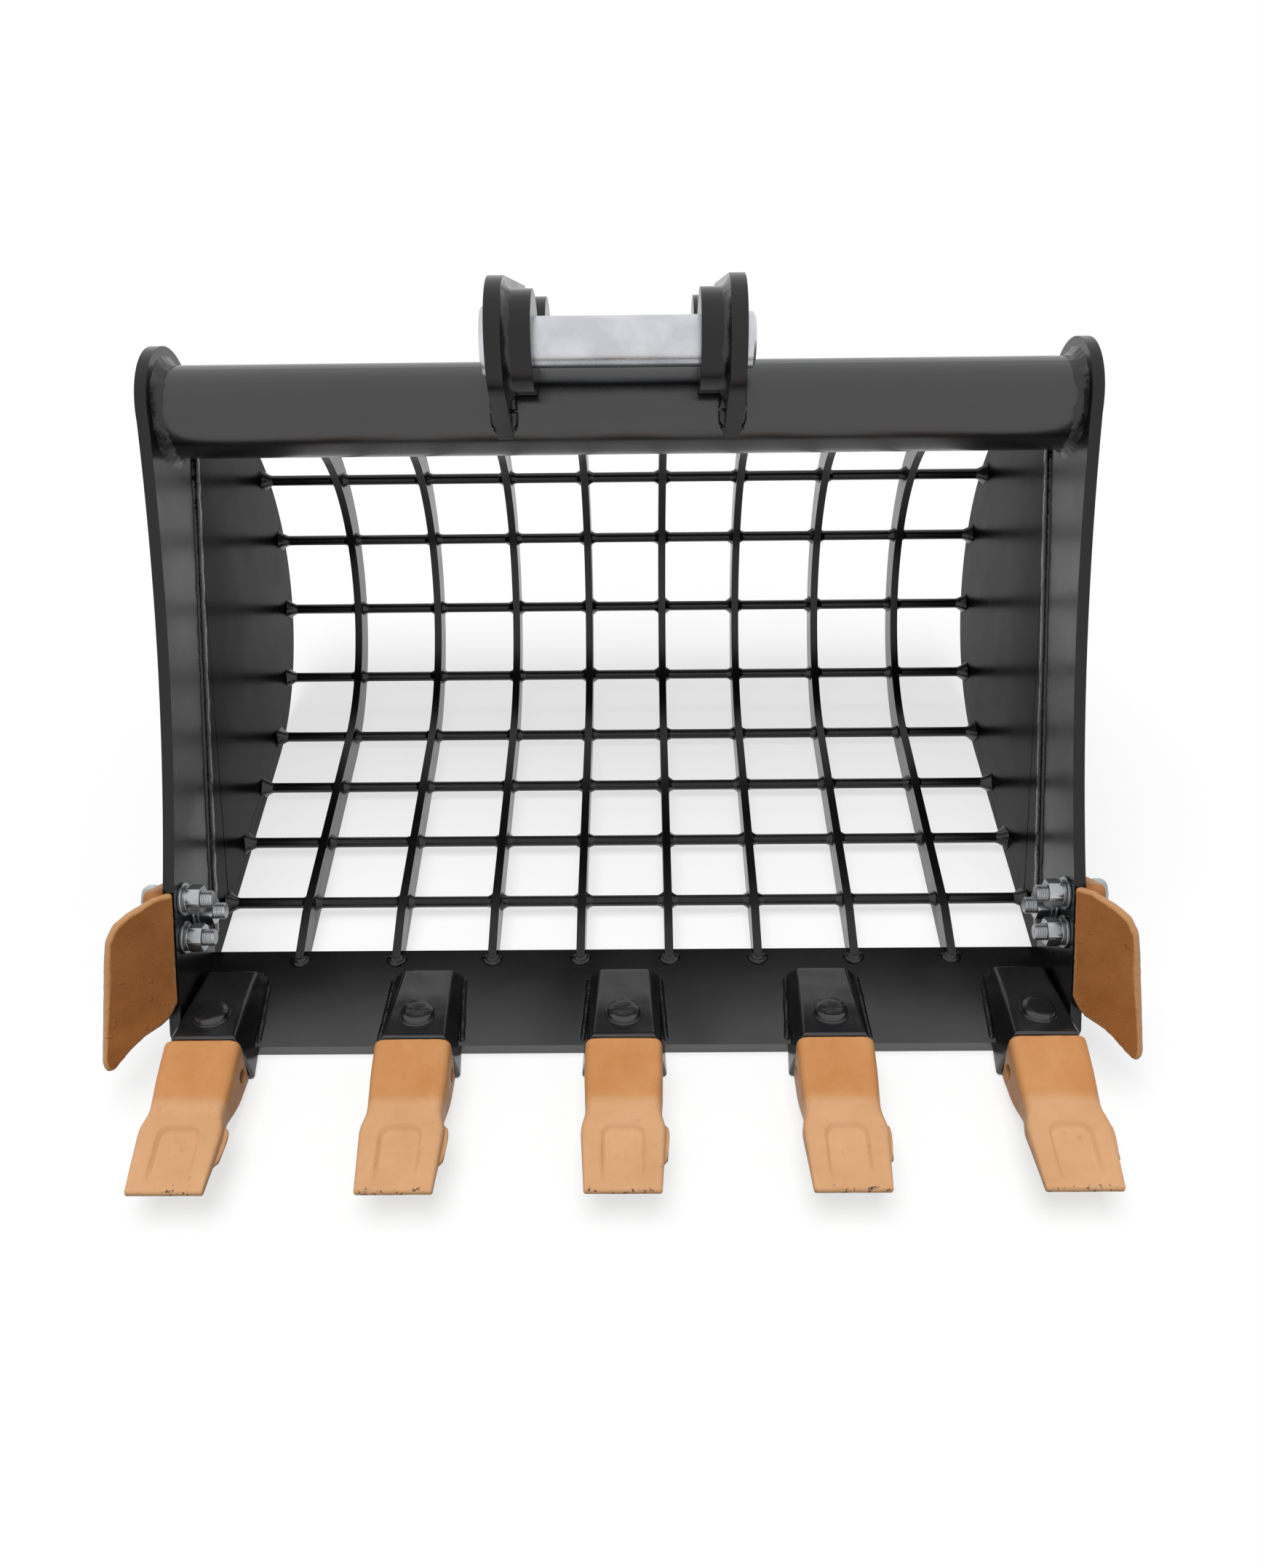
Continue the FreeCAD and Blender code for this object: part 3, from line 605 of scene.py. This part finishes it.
def tooth_dent(x, run, top):
    """Depth of the shallow pocket in the blade's top face."""
    if not top:
        return 0.0
    across = abs(x) - pocket_half + pocket_corner
    ahead = pocket_start + pocket_corner - run
    outside = math.hypot(max(across, 0.0), max(ahead, 0.0)) - pocket_corner
    inside = min(max(across, ahead), 0.0)
    fade = 1 - smooth_share(run, *pocket_fade)
    return pocket_depth * smooth_share(-(outside + inside), 0.0, pocket_wall) * fade


def tooth_lug(x, run, drop):
    """How far the small lug stands out of the right flank."""
    if x <= 0.0:
        return 0.0
    lengthwise = smooth_share(run, *lug_runs[0]) * (1 - smooth_share(run, *lug_runs[1]))
    heightwise = smooth_share(drop, *lug_drops[0]) * (1 - smooth_share(drop, *lug_drops[1]))
    return lug_height * lengthwise * heightwise


def tooth_points(x_place):
    """Points of a tooth in rings, its wear share and its painted sheen share per point, and the
    number of rings.
    """
    points, wear, blade = [], [], []
    runs = run_steps(tooth_length, tooth_end_round, tooth_ring_step)
    for run in runs:
        inset = end_inset(run, tooth_length, tooth_end_round)
        half = eased(tooth_halves, run) - inset
        top = eased(tooth_tops, run, 0.003) + inset
        floor = eased(tooth_floors, run, 0.008) - inset
        top_round = tooth_top_round - tooth_top_round_loss * smooth_share(run, 0.09, tooth_length)
        top_round = min(top_round, 0.4 * (floor - top))
        base_round = min(tooth_base_round, 0.4 * (floor - top))
        for x, height in round_quad(half, half, floor - top, top_round, base_round,
                                    tooth_side_counts):
            drop = floor - top - height
            flank = abs(x) > half - 0.0005
            depth = top + drop + tooth_dent(x, run, drop < 0.0005)
            side = x + (tooth_lug(x, run, drop) if flank else 0.0)
            place = nose_place(x_place + side, tooth_gap + run, depth)
            points.append(place + Vector((0.0, 0.0, skin_at(place, tooth_skin))))
            near_tip = smooth_share(run, tooth_length - tooth_tip_wear, tooth_length)
            corner = smooth_share(abs(x), half - 0.006, half) * (1 - smooth_share(drop, 0.0, 0.02))
            wear.append(max(near_tip, tooth_corner_wear * corner))
            # Share of the painted sheen tone, rising toward the tip.
            blade.append(smooth_share(run, *tooth_sheen_start))
    return points, wear, blade, len(runs)


def cross_drill(piece, x_place):
    """Drills the cross pin's hole through a piece."""
    bpy.ops.mesh.primitive_cylinder_add(vertices=40, radius=tooth_pin_radius + drill_clearance,
                                        depth=2 * drill_half)
    drill = bpy.context.object
    drill.rotation_euler = (0.0, math.pi / 2, 0.0)
    run, depth = tooth_pin_place
    drill.location = nose_place(x_place, tooth_gap + run, depth)
    cut = piece.modifiers.new("drill", "BOOLEAN")
    cut.operation = "DIFFERENCE"
    cut.object = drill
    cut.solver = "EXACT"
    bpy.context.view_layer.update()
    shaped = piece.evaluated_get(bpy.context.evaluated_depsgraph_get())
    mesh = bpy.data.meshes.new_from_object(shaped)
    piece.modifiers.clear()
    piece.data = mesh
    bpy.data.objects.remove(drill)


def make_tooth(number):
    """Cast tooth with its pocket, its lug and the cross pin's hole."""
    x_place = (number - 3) * tooth_pitch
    points, wear, blade, rings = tooth_points(x_place)
    # The blade share carries the painted sheen tone.
    tooth = add_piece(f"cast_tooth_{number}", points, capped_faces(rings, len(points) // rings),
                      "orange_paint", wear=wear, blade=blade)
    cross_drill(tooth, x_place)
    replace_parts(tooth, f"tooth_{number}")


# ---- adapters ----
def adapter_points(x_place):
    """Points of an adapter in rings, from its rear end forward, and the number of rings."""
    points = []
    length = adapter_length + adapter_reach
    runs = run_steps(length, adapter_end_round, adapter_ring_step)
    rear_y = lip_front + adapter_length
    for run in runs:
        share = run / length
        inset = end_inset(run, length, adapter_end_round)
        base_half = adapter_rear_half[0] + (adapter_front_half[0] - adapter_rear_half[0]) * share
        top_half = adapter_rear_half[1] + (adapter_front_half[1] - adapter_rear_half[1]) * share
        rear_base = Vector((x_place, rear_y, lip_top))
        rear_top = Vector((x_place, rear_y, lip_top + adapter_rear_rise))
        base = rear_base.lerp(nose_place(x_place, 0.0, tooth_height), share)
        top = rear_top.lerp(nose_place(x_place, 0.0, 0.0), share)
        crown = adapter_crown * (1 - smooth_share(abs(share - adapter_crown_place), 0.0, 0.5))
        up = (top - base).normalized()
        height = (top - base).length - inset + crown
        top_round = adapter_top_round - adapter_top_round_loss * share
        for x, z in round_quad(top_half - inset, base_half - inset, height, top_round,
                               adapter_base_round, adapter_side_counts):
            place = base + up * z + Vector((x, 0.0, 0.0))
            points.append(place + up * skin_at(place, adapter_skin))
    return points, len(runs)


def make_pad(number, x_place):
    """Round pad with a groove round its foot."""
    slope = math.atan2(adapter_rise - adapter_rear_rise, adapter_length + adapter_reach)
    normal = Vector((0.0, math.sin(slope), math.cos(slope)))
    ahead = Vector((0.0, -math.cos(slope), math.sin(slope)))
    side = Vector((1.0, 0.0, 0.0))
    centre = Vector((x_place, face_y, face_z)) - ahead * pad_setback + normal * 0.0015
    profile = ((1.13, -0.004), (1.12, 0.0008), (1.07, 0.0017), (1.03, 0.0004), (1.0, 0.0012),
               (0.99, pad_height - 0.002), (0.93, pad_height), (0.6, pad_height + 0.0004),
               (0.2, pad_height))
    points = []
    for share, rise in profile:
        for turn in turns(pad_points):
            flat = side * math.cos(turn) + ahead * math.sin(turn)
            place = centre + flat * (pad_radius * share)
            points.append(place + normal * (rise + skin_at(place, pad_skin)))
    add_piece(f"adapter_pad_{number}", points, capped_faces(len(profile), pad_points),
              "cast_black")


def make_adapter(number):
    """Cast adapter with its pad."""
    x_place = (number - 3) * tooth_pitch
    points, rings = adapter_points(x_place)
    adapter = add_piece(f"cast_adapter_{number}", points,
                        capped_faces(rings, len(points) // rings), "cast_black")
    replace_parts(adapter, f"adapter_{number}")
    make_pad(number, x_place)


# ---- weld beads ----
def bead_ring(place, across, up, radius, travel, seed):
    """One ring of a bead: its size ripples along the run and its skin is uneven."""
    ripple = 1 + bead_ripple * abs(math.sin(math.pi * travel / bead_ripple_pitch))
    swell = 1 + bead_swell * noise.noise(Vector((travel * 50.0, seed, 0.0)))
    ring = []
    for turn in turns(bead_points):
        out = across * math.cos(turn) + up * math.sin(turn)
        rough = 1 + bead_roughness * noise.noise((place + out * radius) * 400.0)
        ring.append(place + out * (radius * ripple * swell * rough))
    return ring


def add_beads(name, paths, radius, flat=1.0):
    """Weld beads along several paths of points, each drawn in at both ends."""
    points, faces = [], []
    for seed, path in enumerate(paths):
        first, travel, last = len(points), 0.0, len(path) - 1
        for i, place in enumerate(path):
            ahead, behind = path[min(i + 1, last)], path[max(i - 1, 0)]
            course = (ahead - behind).normalized()
            guide = Vector((0.0, 0.0, 1.0))
            if abs(course.z) > 0.9:
                guide = Vector((0.0, 1.0, 0.0))
            across = course.cross(guide).normalized()
            up = across.cross(course)
            end = bead_end_share if i in (0, last) else 1.0
            points += bead_ring(place, across * flat, up, radius * end, travel, seed * 3.7)
            travel += (ahead - place).length
        faces += capped_faces(len(path), bead_points, first)
    return add_piece(name, points, faces, "weld_black")


def straight(start, end):
    """Even points on a line, with both of its ends."""
    start, end = Vector(start), Vector(end)
    count = max(2, round((end - start).length / weld_step))
    return [start.lerp(end, i / count) for i in range(count + 1)]


def turn_about(x, centre, radius, first, last):
    """Open arc in a plane of constant x round a centre (y, z); degrees from +Y."""
    count = max(8, round(abs(math.radians(last - first)) * radius / weld_step))
    return [on_round(x, centre, radius, math.radians(first + (last - first) * i / count))
            for i in range(count + 1)]


def lathe(points, faces, x, way, centre, profile, size=round_points, rough=0.0):
    """Adds a turned shape: profile of (reach along X, radius) round a centre (y, z)."""
    first = len(points)
    for reach, radius in profile:
        for turn in turns(size):
            place = on_round(x + way * reach, centre, radius, turn)
            lump = skin_at(place, turned_skin) * rough
            points.append(place + Vector((way, math.cos(turn), math.sin(turn))) * lump)
    faces += facing(ring_faces(len(profile), size, first), way)


def fillet_profile(radius, leg):
    """Slightly hollow weld fillet from a wall down onto a round of that radius."""
    profile = [(-fillet_root, radius + leg)]
    for i in range(1, fillet_steps + 1):
        turn = math.radians(90 * i / fillet_steps)
        hollow = fillet_hollow * math.sin(2 * turn)
        profile.append((leg * (1 - math.cos(turn)) * (1 + hollow),
                        radius + leg * (1 - math.sin(turn)) * (1 + hollow)))
    return profile


def add_fillets(name, node, places, leg, size, rough):
    """Weld rings in place of a node: (x, way, centre, radius) of each at its wall."""
    points, faces = [], []
    for x, way, centre, radius in places:
        profile = fillet_profile(radius - weld_sink, leg)
        lathe(points, faces, x, way, centre, profile, size, rough)
    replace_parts(add_piece(name, points, faces, "weld_black"), node)


def make_tube_welds():
    """Thick weld ring where the tube meets each side bar."""
    places = [(side * inner_x, -side, tube_place, tube_radius) for side in (-1, 1)]
    add_fillets("tube_weld_fillets", "tube_welds", places, tube_weld_leg, tube_weld_points,
                tube_weld_skin)


def make_seams():
    """Long weld seam between each side bar and its plate."""
    low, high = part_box("seam_welds")
    x = inner_x + 0.0005
    paths = [straight((side * x, low.y + seam_start, low.z + seam_start),
                      (side * x, high.y - seam_end, high.z - seam_end))
             for side in (-1, 1)]
    seams = add_beads("seam_beads", paths, seam_bead_radius, seam_flatness)
    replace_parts(seams, "seam_welds")


def make_boss_welds():
    """Weld ring round the foot of each boss on its ear."""
    places = []
    for name in boss_names:
        low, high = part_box(name)
        wall, way = (low.x, 1) if name.startswith("left") else (high.x, -1)
        places.append((wall, way, *round_place(name)))
    add_fillets("boss_weld_fillets", "boss_welds", places, boss_weld_leg, boss_weld_points,
                boss_weld_skin)


def ear_weld_path(low_x, high_x):
    """Line round an ear's foot on the tube: one face, the rounded toe, the other face."""
    radius, half, middle_x = tube_radius + 0.0005, (high_x - low_x) / 2, (low_x + high_x) / 2
    path = turn_about(low_x, tube_place, radius, ear_heel_angle, ear_toe_angle)
    for turn in range(15, 180, 15):
        lead = half * math.sin(math.radians(turn)) / radius
        around = math.radians(ear_toe_angle) + lead
        x = middle_x - half * math.cos(math.radians(turn))
        path.append(on_round(x, tube_place, radius, around))
    return path + turn_about(high_x, tube_place, radius, ear_toe_angle, ear_heel_angle)


def make_ear_welds():
    """Fillets round the foot of each ear on the tube."""
    paths = []
    for name in ("left_ear", "right_ear"):
        low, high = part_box(name)
        paths.append(ear_weld_path(low.x - 0.001, high.x + 0.001))
    add_beads("ear_weld_beads", paths, ear_bead_radius)


def make_rib_end_welds():
    """Two passes round the front end of each rib."""
    paths = []
    for name in rib_names:
        low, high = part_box(name)
        x, half = (low.x + high.x) / 2, (high.x - low.x) / 2
        front, level = low.y, lip_top + 0.002
        for reach, rise in rib_end_passes:
            path = [Vector((x + (half + reach) * math.cos(math.radians(turn)),
                            front + rib_end_setback
                            + (reach + rib_end_setback) * math.sin(math.radians(turn)),
                            level + rise)) for turn in range(-190, 11, 10)]
            paths.append(path)
    welds = add_beads("rib_end_beads", paths, rib_end_bead_radius)
    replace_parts(welds, "rib_end_welds")


def spiky_collar(points, faces, x, way, centre, radius, leg, turn_shift):
    """Small tack weld round a rod: a cone drawn out into a few spikes at the wall."""
    first, shares = len(points), (0.0, 0.35, 0.7, 1.0)
    for share in shares:
        for turn in turns(tack_points):
            spike = 0.45 + 0.55 * abs(math.cos(2 * turn + turn_shift)) ** 3
            out = radius * 0.97 + leg * spike * (1 - share) ** tack_hollow
            points.append(on_round(x + way * leg * tack_length_share * share, centre, out, turn))
    faces += facing(ring_faces(len(shares), tack_points, first), way)


def make_rod_collars():
    """Tack welds where the rods pass the ribs and the side plates."""
    points, faces = [], []
    walls = [(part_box(name)[end].x, 2 * end - 1, rib_tack_leg)
             for name in rib_names for end in (0, 1)]
    walls += [(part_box("left_side_plate")[1].x, 1, plate_tack_leg),
              (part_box("right_side_plate")[0].x, -1, plate_tack_leg)]
    for number in range(1, 9):
        centre, radius = round_place(f"rod_{number}")
        for k, (x, way, leg) in enumerate(walls):
            shift = 1.5 * noise.noise(Vector((number * 3.1, k * 1.7, 0.5)))
            spiky_collar(points, faces, x, way, centre, radius, leg, shift)
    add_piece("rod_tack_welds", points, faces, "weld_black")


def make_adapter_welds():
    """A thin pass along each flank of an adapter, and one behind it."""
    paths = []
    for number in range(1, 6):
        x = (number - 3) * tooth_pitch
        rear_y = lip_front + adapter_length
        for side in (-1, 1):
            rear = (x + side * adapter_rear_half[0], rear_y - adapter_weld_margin,
                    lip_top - adapter_weld_sink)
            front = (x + side * (adapter_front_half[0] - 0.001),
                     lip_front + adapter_weld_margin, lip_top - adapter_weld_sink)
            if abs(front[0]) < inner_x:
                paths.append(straight(rear, front))
        ends = [(x + side * adapter_rear_weld_half, rear_y + 0.001, lip_top + 0.001)
                for side in (-1, 1)]
        paths.append(straight(*ends))
    add_beads("adapter_welds", paths, adapter_bead_radius)


# ---- side cutters ----
def by_bar_edge(x, along, out):
    """Row point beside the bar's front edge: along it from the knee, and out of it."""
    return Vector((x, knee[0] + bar_down[0] * along + bar_out[0] * out,
                   knee[1] + bar_down[1] * along + bar_out[1] * out))


def on_blade(side, reach, along, sunk=0.0):
    """Point of a blade: reach from its root, run along the bar, depth under its face."""
    cos, sin = math.cos(cutter_flare), math.sin(cutter_flare)
    return by_bar_edge(side * (inner_x + reach * cos + sunk * sin), along,
                       cutter_rise + reach * sin - sunk * cos)


def densify(outline, step):
    """Points at an even step on a closed outline."""
    points = []
    for i, start in enumerate(outline):
        end = outline[(i + 1) % len(outline)]
        points += side_points(Vector(start), Vector(end),
                              max(1, round((Vector(end) - Vector(start)).length / step)))
    return points


def relaxed(points, rounds):
    """Evens out a closed outline, which rounds its corners."""
    for _ in range(rounds):
        size = len(points)
        points = [(points[i - 1] + 2 * points[i] + points[(i + 1) % size]) / 4
                  for i in range(size)]
    return points


def blade_outline(length, tip):
    """(reach, run) outline of the blade: shoulder, outer edge, tip and lower edge."""
    root = blade_lower_end
    fall = tip - root
    return [(blade_root, blade_start), (length * 0.19, blade_start * 0.5),
            (length * 0.56, tip * 0.060),
            (length * 0.76, tip * 0.120), (length * 0.87, tip * 0.206),
            (length * 0.905, tip * 0.324), (length, tip * 0.95), (length * 0.975, tip),
            (length * 0.89, tip), (length * 0.64, root + fall * 0.69),
            (length * 0.44, root + fall * 0.5), (length * 0.2, root + fall * 0.36),
            (length * 0.08, root + fall * 0.25), (blade_root, root)]


def flange_outline():
    """(run, out) of the flange on the bar's outer face, which the bolts hold."""
    behind = -0.105
    corner = 0.016
    return [(flange_start, corner), (flange_start, -0.006), (-0.009, -0.054), (0.0155, behind),
            (0.0555, behind), (0.093, -0.042), (0.140, -0.012), (0.140, corner)]


def blade_rings(side, outline, centre):
    """Rings of a flame-cut plate: back face, cut edge, worn corner and front face."""
    steps = ((0.004, blade_thickness), (0.0004, blade_thickness - 0.003),
             (0.0, blade_thickness * 0.6), (0.0, blade_thickness * 0.3), (0.0002, 0.003),
             (0.0026, 0.0), (0.006, 0.0))
    rings = []
    for level, (inset, sunk) in enumerate(steps):
        ring = []
        for i, point in enumerate(outline):
            inward = (centre - point).normalized()
            rough = noise.noise(Vector((i * 0.31, level * 1.7, side * 9.0)))
            spread = 0.0011 if level == len(steps) - 2 else 0.0004
            here = point + inward * max(0.0, inset + rough * spread * (2 if level > 4 else 1))
            ring.append(on_blade(side, here.x, here.y, sunk))
        rings.append(ring)
    return rings


def make_cutter(side, name):
    """Side cutter: the flared blade, and the flange that the bolts hold."""
    outline = relaxed(densify(blade_outline(*blade_sizes[side]), blade_step), blade_rounds)
    centre = sum(outline, Vector((0.0, 0.0))) / len(outline)
    rings = blade_rings(side, outline, centre)
    points = [point for ring in rings for point in ring]
    faces = facing(capped_faces(len(rings), len(outline)), side)
    wear = [1.0 if 1 <= level <= 5 else 0.0 for level, ring in enumerate(rings) for _ in ring]
    first = len(points)
    plate = relaxed(densify(flange_outline(), flange_step), flange_rounds)
    middle_point = sum(plate, Vector((0.0, 0.0))) / len(plate)
    levels = ((0.0002, 0.0), (cutter_thickness - flange_edge, 0.0),
              (cutter_thickness, flange_edge))
    for x, inset in levels:
        for point in plate:
            here = point + (middle_point - point).normalized() * inset
            points.append(by_bar_edge(side * (outer_x + x), here.x, here.y))
            wear.append(0.3)
    faces += facing(capped_faces(len(levels), len(plate), first), -side)
    cutter = add_piece(f"cut_{name}", points, faces, "cutter_paint", wear=wear)
    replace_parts(cutter, name)


# ---- carried-over CAD nodes ----
def cad_piece_edges(width, names):
    """Small rounded edges on carried-over CAD nodes."""
    for name in names:
        piece = frame["nodes"][name]
        for extra in ("custom_normal", "sharp_edge", "sharp_face"):
            if extra in piece.data.attributes:
                piece.data.attributes.remove(piece.data.attributes[extra])
        piece.data.shade_smooth()
        weld = piece.modifiers.new("weld", "WELD")
        weld.merge_threshold = merge_distance
        bevel = piece.modifiers.new("edges", "BEVEL")
        bevel.width = width
        bevel.segments = 2
        bevel.limit_method = "ANGLE"
        bevel.angle_limit = math.radians(bevel_angle)
        bevel.harden_normals = True
        bevel.use_clamp_overlap = True


def bolt_centres():
    """Centres (y, z) of the three bolts of a side cutter."""
    behind = bolt_edge_distance + bolt_spacing * math.sqrt(3) / 2
    places = ((bolt_first, -bolt_edge_distance), (bolt_first + bolt_spacing, -bolt_edge_distance),
              (bolt_first + bolt_spacing / 2, -behind))
    return [by_bar_edge(0.0, along, out).yz for along, out in places]


def hex_ring(x, centre, limit):
    """Ring of a hexagon nut, cut down to a round of the limit radius."""
    ring = []
    for turn in turns(round_points):
        off = (turn + math.pi / 6) % (math.pi / 3) - math.pi / 6
        radius = min(nut_flats / 2 / math.cos(off), limit)
        ring.append(on_round(x, centre, radius, turn))
    return ring


def hex_solid(points, faces, x0, x1, centre):
    """Hexagon nut or bolt head between two places along X, with both rims chamfered."""
    first, rim, full = len(points), nut_flats * hex_round_share, nut_flats
    levels = ((0.0, rim * hex_face_share), (0.0, rim), (hex_rim_share, full),
              (1 - hex_rim_share, full), (1.0, rim), (1.0, rim * hex_face_share))
    for share, limit in levels:
        points += hex_ring(x0 + (x1 - x0) * share, centre, limit)
    faces += facing(capped_faces(len(levels), round_points, first), x1 - x0)


def round_solid(points, faces, x0, x1, centre, radius, edge):
    """Turned disc between two places along X, with both rims rounded off."""
    length, way = abs(x1 - x0), 1 if x1 > x0 else -1
    cap = radius * round_cap_share
    profile = ((0.0, cap), (0.0, radius - edge), (edge, radius),
               (length - edge, radius), (length, radius - edge), (length, cap))
    first = len(points)
    lathe(points, [], x0, way, centre, profile)
    faces += facing(capped_faces(len(profile), round_points, first), way)


def threaded_end(points, faces, side, centre):
    """Thread of the bolt's end that stands out of its nut."""
    rings, length = round(2 * bolt_stickout / thread_pitch), bolt_stickout
    profile = [(0.0, bolt_radius * round_cap_share), (0.0, bolt_radius - thread_chamfer)]
    profile += [(thread_lead + (length - thread_lead) * k / rings,
                 bolt_radius + (thread_crest if k % 2 else thread_root))
                for k in range(rings + 1)]
    first = len(points)
    lathe(points, [], side * bolt_end_x, side, centre, profile)
    cap = tuple(reversed(range(first, first + round_points)))
    faces += facing(ring_faces(len(profile), round_points, first) + [cap], side)


def make_fasteners():
    """Bolt heads and ends, washers, spring washers and nuts of both side cutters."""
    kinds = ("washers", "spring_washers", "nuts", "bolts")
    shapes = {kind: ([], []) for kind in kinds}
    washers, springs, nuts, bolts = shapes.values()
    head_x = outer_x + cutter_thickness
    for centre in bolt_centres():
        for side in (-1, 1):
            wall = side * inner_x
            washer, spring = wall - side * washer_thickness, wall - side * stack_to_nut
            nut = side * (bolt_end_x + bolt_stickout)
            round_solid(*washers, washer, wall, centre, washer_radius, washer_edge)
            round_solid(*springs, spring, washer, centre, spring_radius, spring_edge)
            hex_solid(*nuts, nut, spring, centre)
            hex_solid(*bolts, side * head_x, side * (head_x + bolt_head_height), centre)
            threaded_end(*bolts, side, centre)
    for kind, (points, faces) in shapes.items():
        piece = add_piece(f"turned_{kind}", points, faces, "fastener_zinc")
        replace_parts(piece, f"cutter_{kind}")


def make_hanger_pin():
    """Hanger pin with its flat head on the left."""
    low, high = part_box("front_pin")
    centre, head_radius = round_place("front_pin")
    length = high.x - low.x
    profile = ((0.0, cap_radius), (0.0, head_radius - pin_edge),
               (0.0006, head_radius - 0.0006), (pin_edge, head_radius),
               (head_thickness - 0.001, head_radius), (head_thickness, head_radius - 0.001),
               (head_thickness, pin_radius), (0.1, pin_radius), (length - pin_chamfer, pin_radius),
               (length, pin_radius - pin_chamfer), (length, cap_radius))
    points = []
    lathe(points, [], low.x, 1, centre, profile, pin_points)
    pin = add_piece("turned_pin", points, capped_faces(len(profile), pin_points), "zinc",
                    "front_pin")
    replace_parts(pin, "front_pin")


def make_pin_collar():
    """Ring on the hanger pin's right end."""
    centre = round_place("front_pin")[0]
    low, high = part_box("pin_collar")
    radius, length = (high.z - low.z) / 2, high.x - low.x
    bore = pin_radius + pin_clearance
    profile = ((0.0, bore), (0.0, radius - 0.001), (0.001, radius), (length - pin_edge, radius),
               (length, radius - pin_edge), (length, bore))
    points, faces = [], []
    lathe(points, faces, low.x, 1, centre, profile, pin_points)
    last = (len(profile) - 1) * pin_points
    faces += [(last + i, last + (i + 1) % pin_points, (i + 1) % pin_points, i)
              for i in range(pin_points)]
    collar = add_piece("turned_collar", points, faces, "zinc", "pin_collar")
    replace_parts(collar, "pin_collar")


def sharpen_turned():
    """Keeps the turned and hexagonal pieces crisp at their corners."""
    for piece in bpy.data.objects:
        if piece.name.startswith("turned_"):
            piece.data.set_sharp_from_angle(angle=math.radians(crisp_angle))


beveled_plates = ("left_side_bar", "right_side_bar", "left_side_plate", "right_side_plate",
                  "cutting_edge", "back_plate", "left_ear", "right_ear", *boss_names)

for number in range(1, 6):
    make_tooth(number)
    make_adapter(number)
make_cutter(-1, "left_side_cutter")
make_cutter(1, "right_side_cutter")
make_tube_welds()
make_seams()
make_boss_welds()
make_ear_welds()
make_rib_end_welds()
make_rod_collars()
make_adapter_welds()
make_fasteners()
make_hanger_pin()
make_pin_collar()
sharpen_turned()
cad_piece_edges(plate_edge, beveled_plates)
cad_piece_edges(rib_edge, rib_names)


# ---- stage, light and camera ----
def seen_share(tree):
    """1 for camera, glossy and transmission rays, which see the background, else 0."""
    path = tree.nodes.new("ShaderNodeLightPath")
    share = path.outputs["Is Camera Ray"]
    for ray in ("Is Glossy Ray", "Is Transmission Ray"):
        either = node_of(tree, "ShaderNodeMath", operation="MAXIMUM")
        tree.links.new(share, either.inputs[0])
        tree.links.new(path.outputs[ray], either.inputs[1])
        share = either.outputs[0]
    return share


def make_floor():
    """Wide floor that is white to what sees it and keeps the bucket's shadow."""
    bpy.ops.mesh.primitive_plane_add(size=floor_size, location=(0.0, 0.0, 0.0))
    floor = bpy.context.object
    floor.name = "floor"
    material = bpy.data.materials.new("floor")
    material.use_nodes = True
    tree = material.node_tree
    tree.nodes.clear()
    lit = node_of(tree, "ShaderNodeBsdfDiffuse")
    tone = colour_mix(tree, seen_share(tree), (floor_grey,) * 3, (floor_seen,) * 3)
    tree.links.new(tone, lit.inputs["Color"])
    white = node_of(tree, "ShaderNodeEmission", Strength=floor_white)
    share = node_of(tree, "ShaderNodeMath", operation="MULTIPLY")
    tree.links.new(seen_share(tree), share.inputs[0])
    share.inputs[1].default_value = floor_mix
    mix = node_of(tree, "ShaderNodeMixShader")
    tree.links.new(share.outputs[0], mix.inputs["Fac"])
    tree.links.new(lit.outputs[0], mix.inputs[1])
    tree.links.new(white.outputs[0], mix.inputs[2])
    output = node_of(tree, "ShaderNodeOutputMaterial")
    tree.links.new(mix.outputs[0], output.inputs["Surface"])
    floor.data.materials.append(material)


def make_world():
    """A plain sky for the light, and a white one for what sees or reflects it."""
    world = bpy.data.worlds.new("studio")
    scene.world = world
    world.use_nodes = True
    tree = world.node_tree
    background = tree.nodes["Background"]
    strength = remap(tree, seen_share(tree), 0.0, 1.0, sky_light, sky_seen)
    tree.links.new(strength, background.inputs["Strength"])
    background.inputs["Color"].default_value = (*sky_colour, 1.0)


def make_sun():
    """Wide soft lamp, which glossy paint doesn't mirror."""
    lamp = bpy.data.lights.new("sun", "SUN")
    lamp.energy = sun_strength
    lamp.angle = math.radians(sun_angle)
    holder = bpy.data.objects.new("sun", lamp)
    scene.collection.objects.link(holder)
    holder.rotation_euler = (-Vector(sun_from)).to_track_quat("-Z", "Y").to_euler()
    holder.visible_glossy = False


def make_camera():
    """Camera at the place and turn that were fitted to the photograph."""
    data = bpy.data.cameras.new("camera")
    data.sensor_width = sensor_width
    data.lens = sensor_width * focal_pixels / image_height
    data.clip_end = camera_reach
    holder = bpy.data.objects.new("camera", data)
    scene.collection.objects.link(holder)
    right = Vector((1.0, 0.0, 0.0))
    forward = Vector((0.0, math.cos(camera_pitch), -math.sin(camera_pitch)))
    up = right.cross(forward)
    turned = math.cos(camera_yaw) * forward + math.sin(camera_yaw) * right
    right = math.cos(camera_yaw) * right - math.sin(camera_yaw) * forward
    tilted = math.cos(camera_roll) * right - math.sin(camera_roll) * up
    up = math.cos(camera_roll) * up + math.sin(camera_roll) * right
    turn = Matrix((tilted, up, -turned)).transposed()
    place = Vector((camera_x, lip_rear - camera_setback, camera_height))
    holder.matrix_world = Matrix.Translation(place) @ turn.to_4x4()
    scene.camera = holder


make_floor()
make_world()
make_sun()
make_camera()
scene.view_settings.view_transform = "Standard"
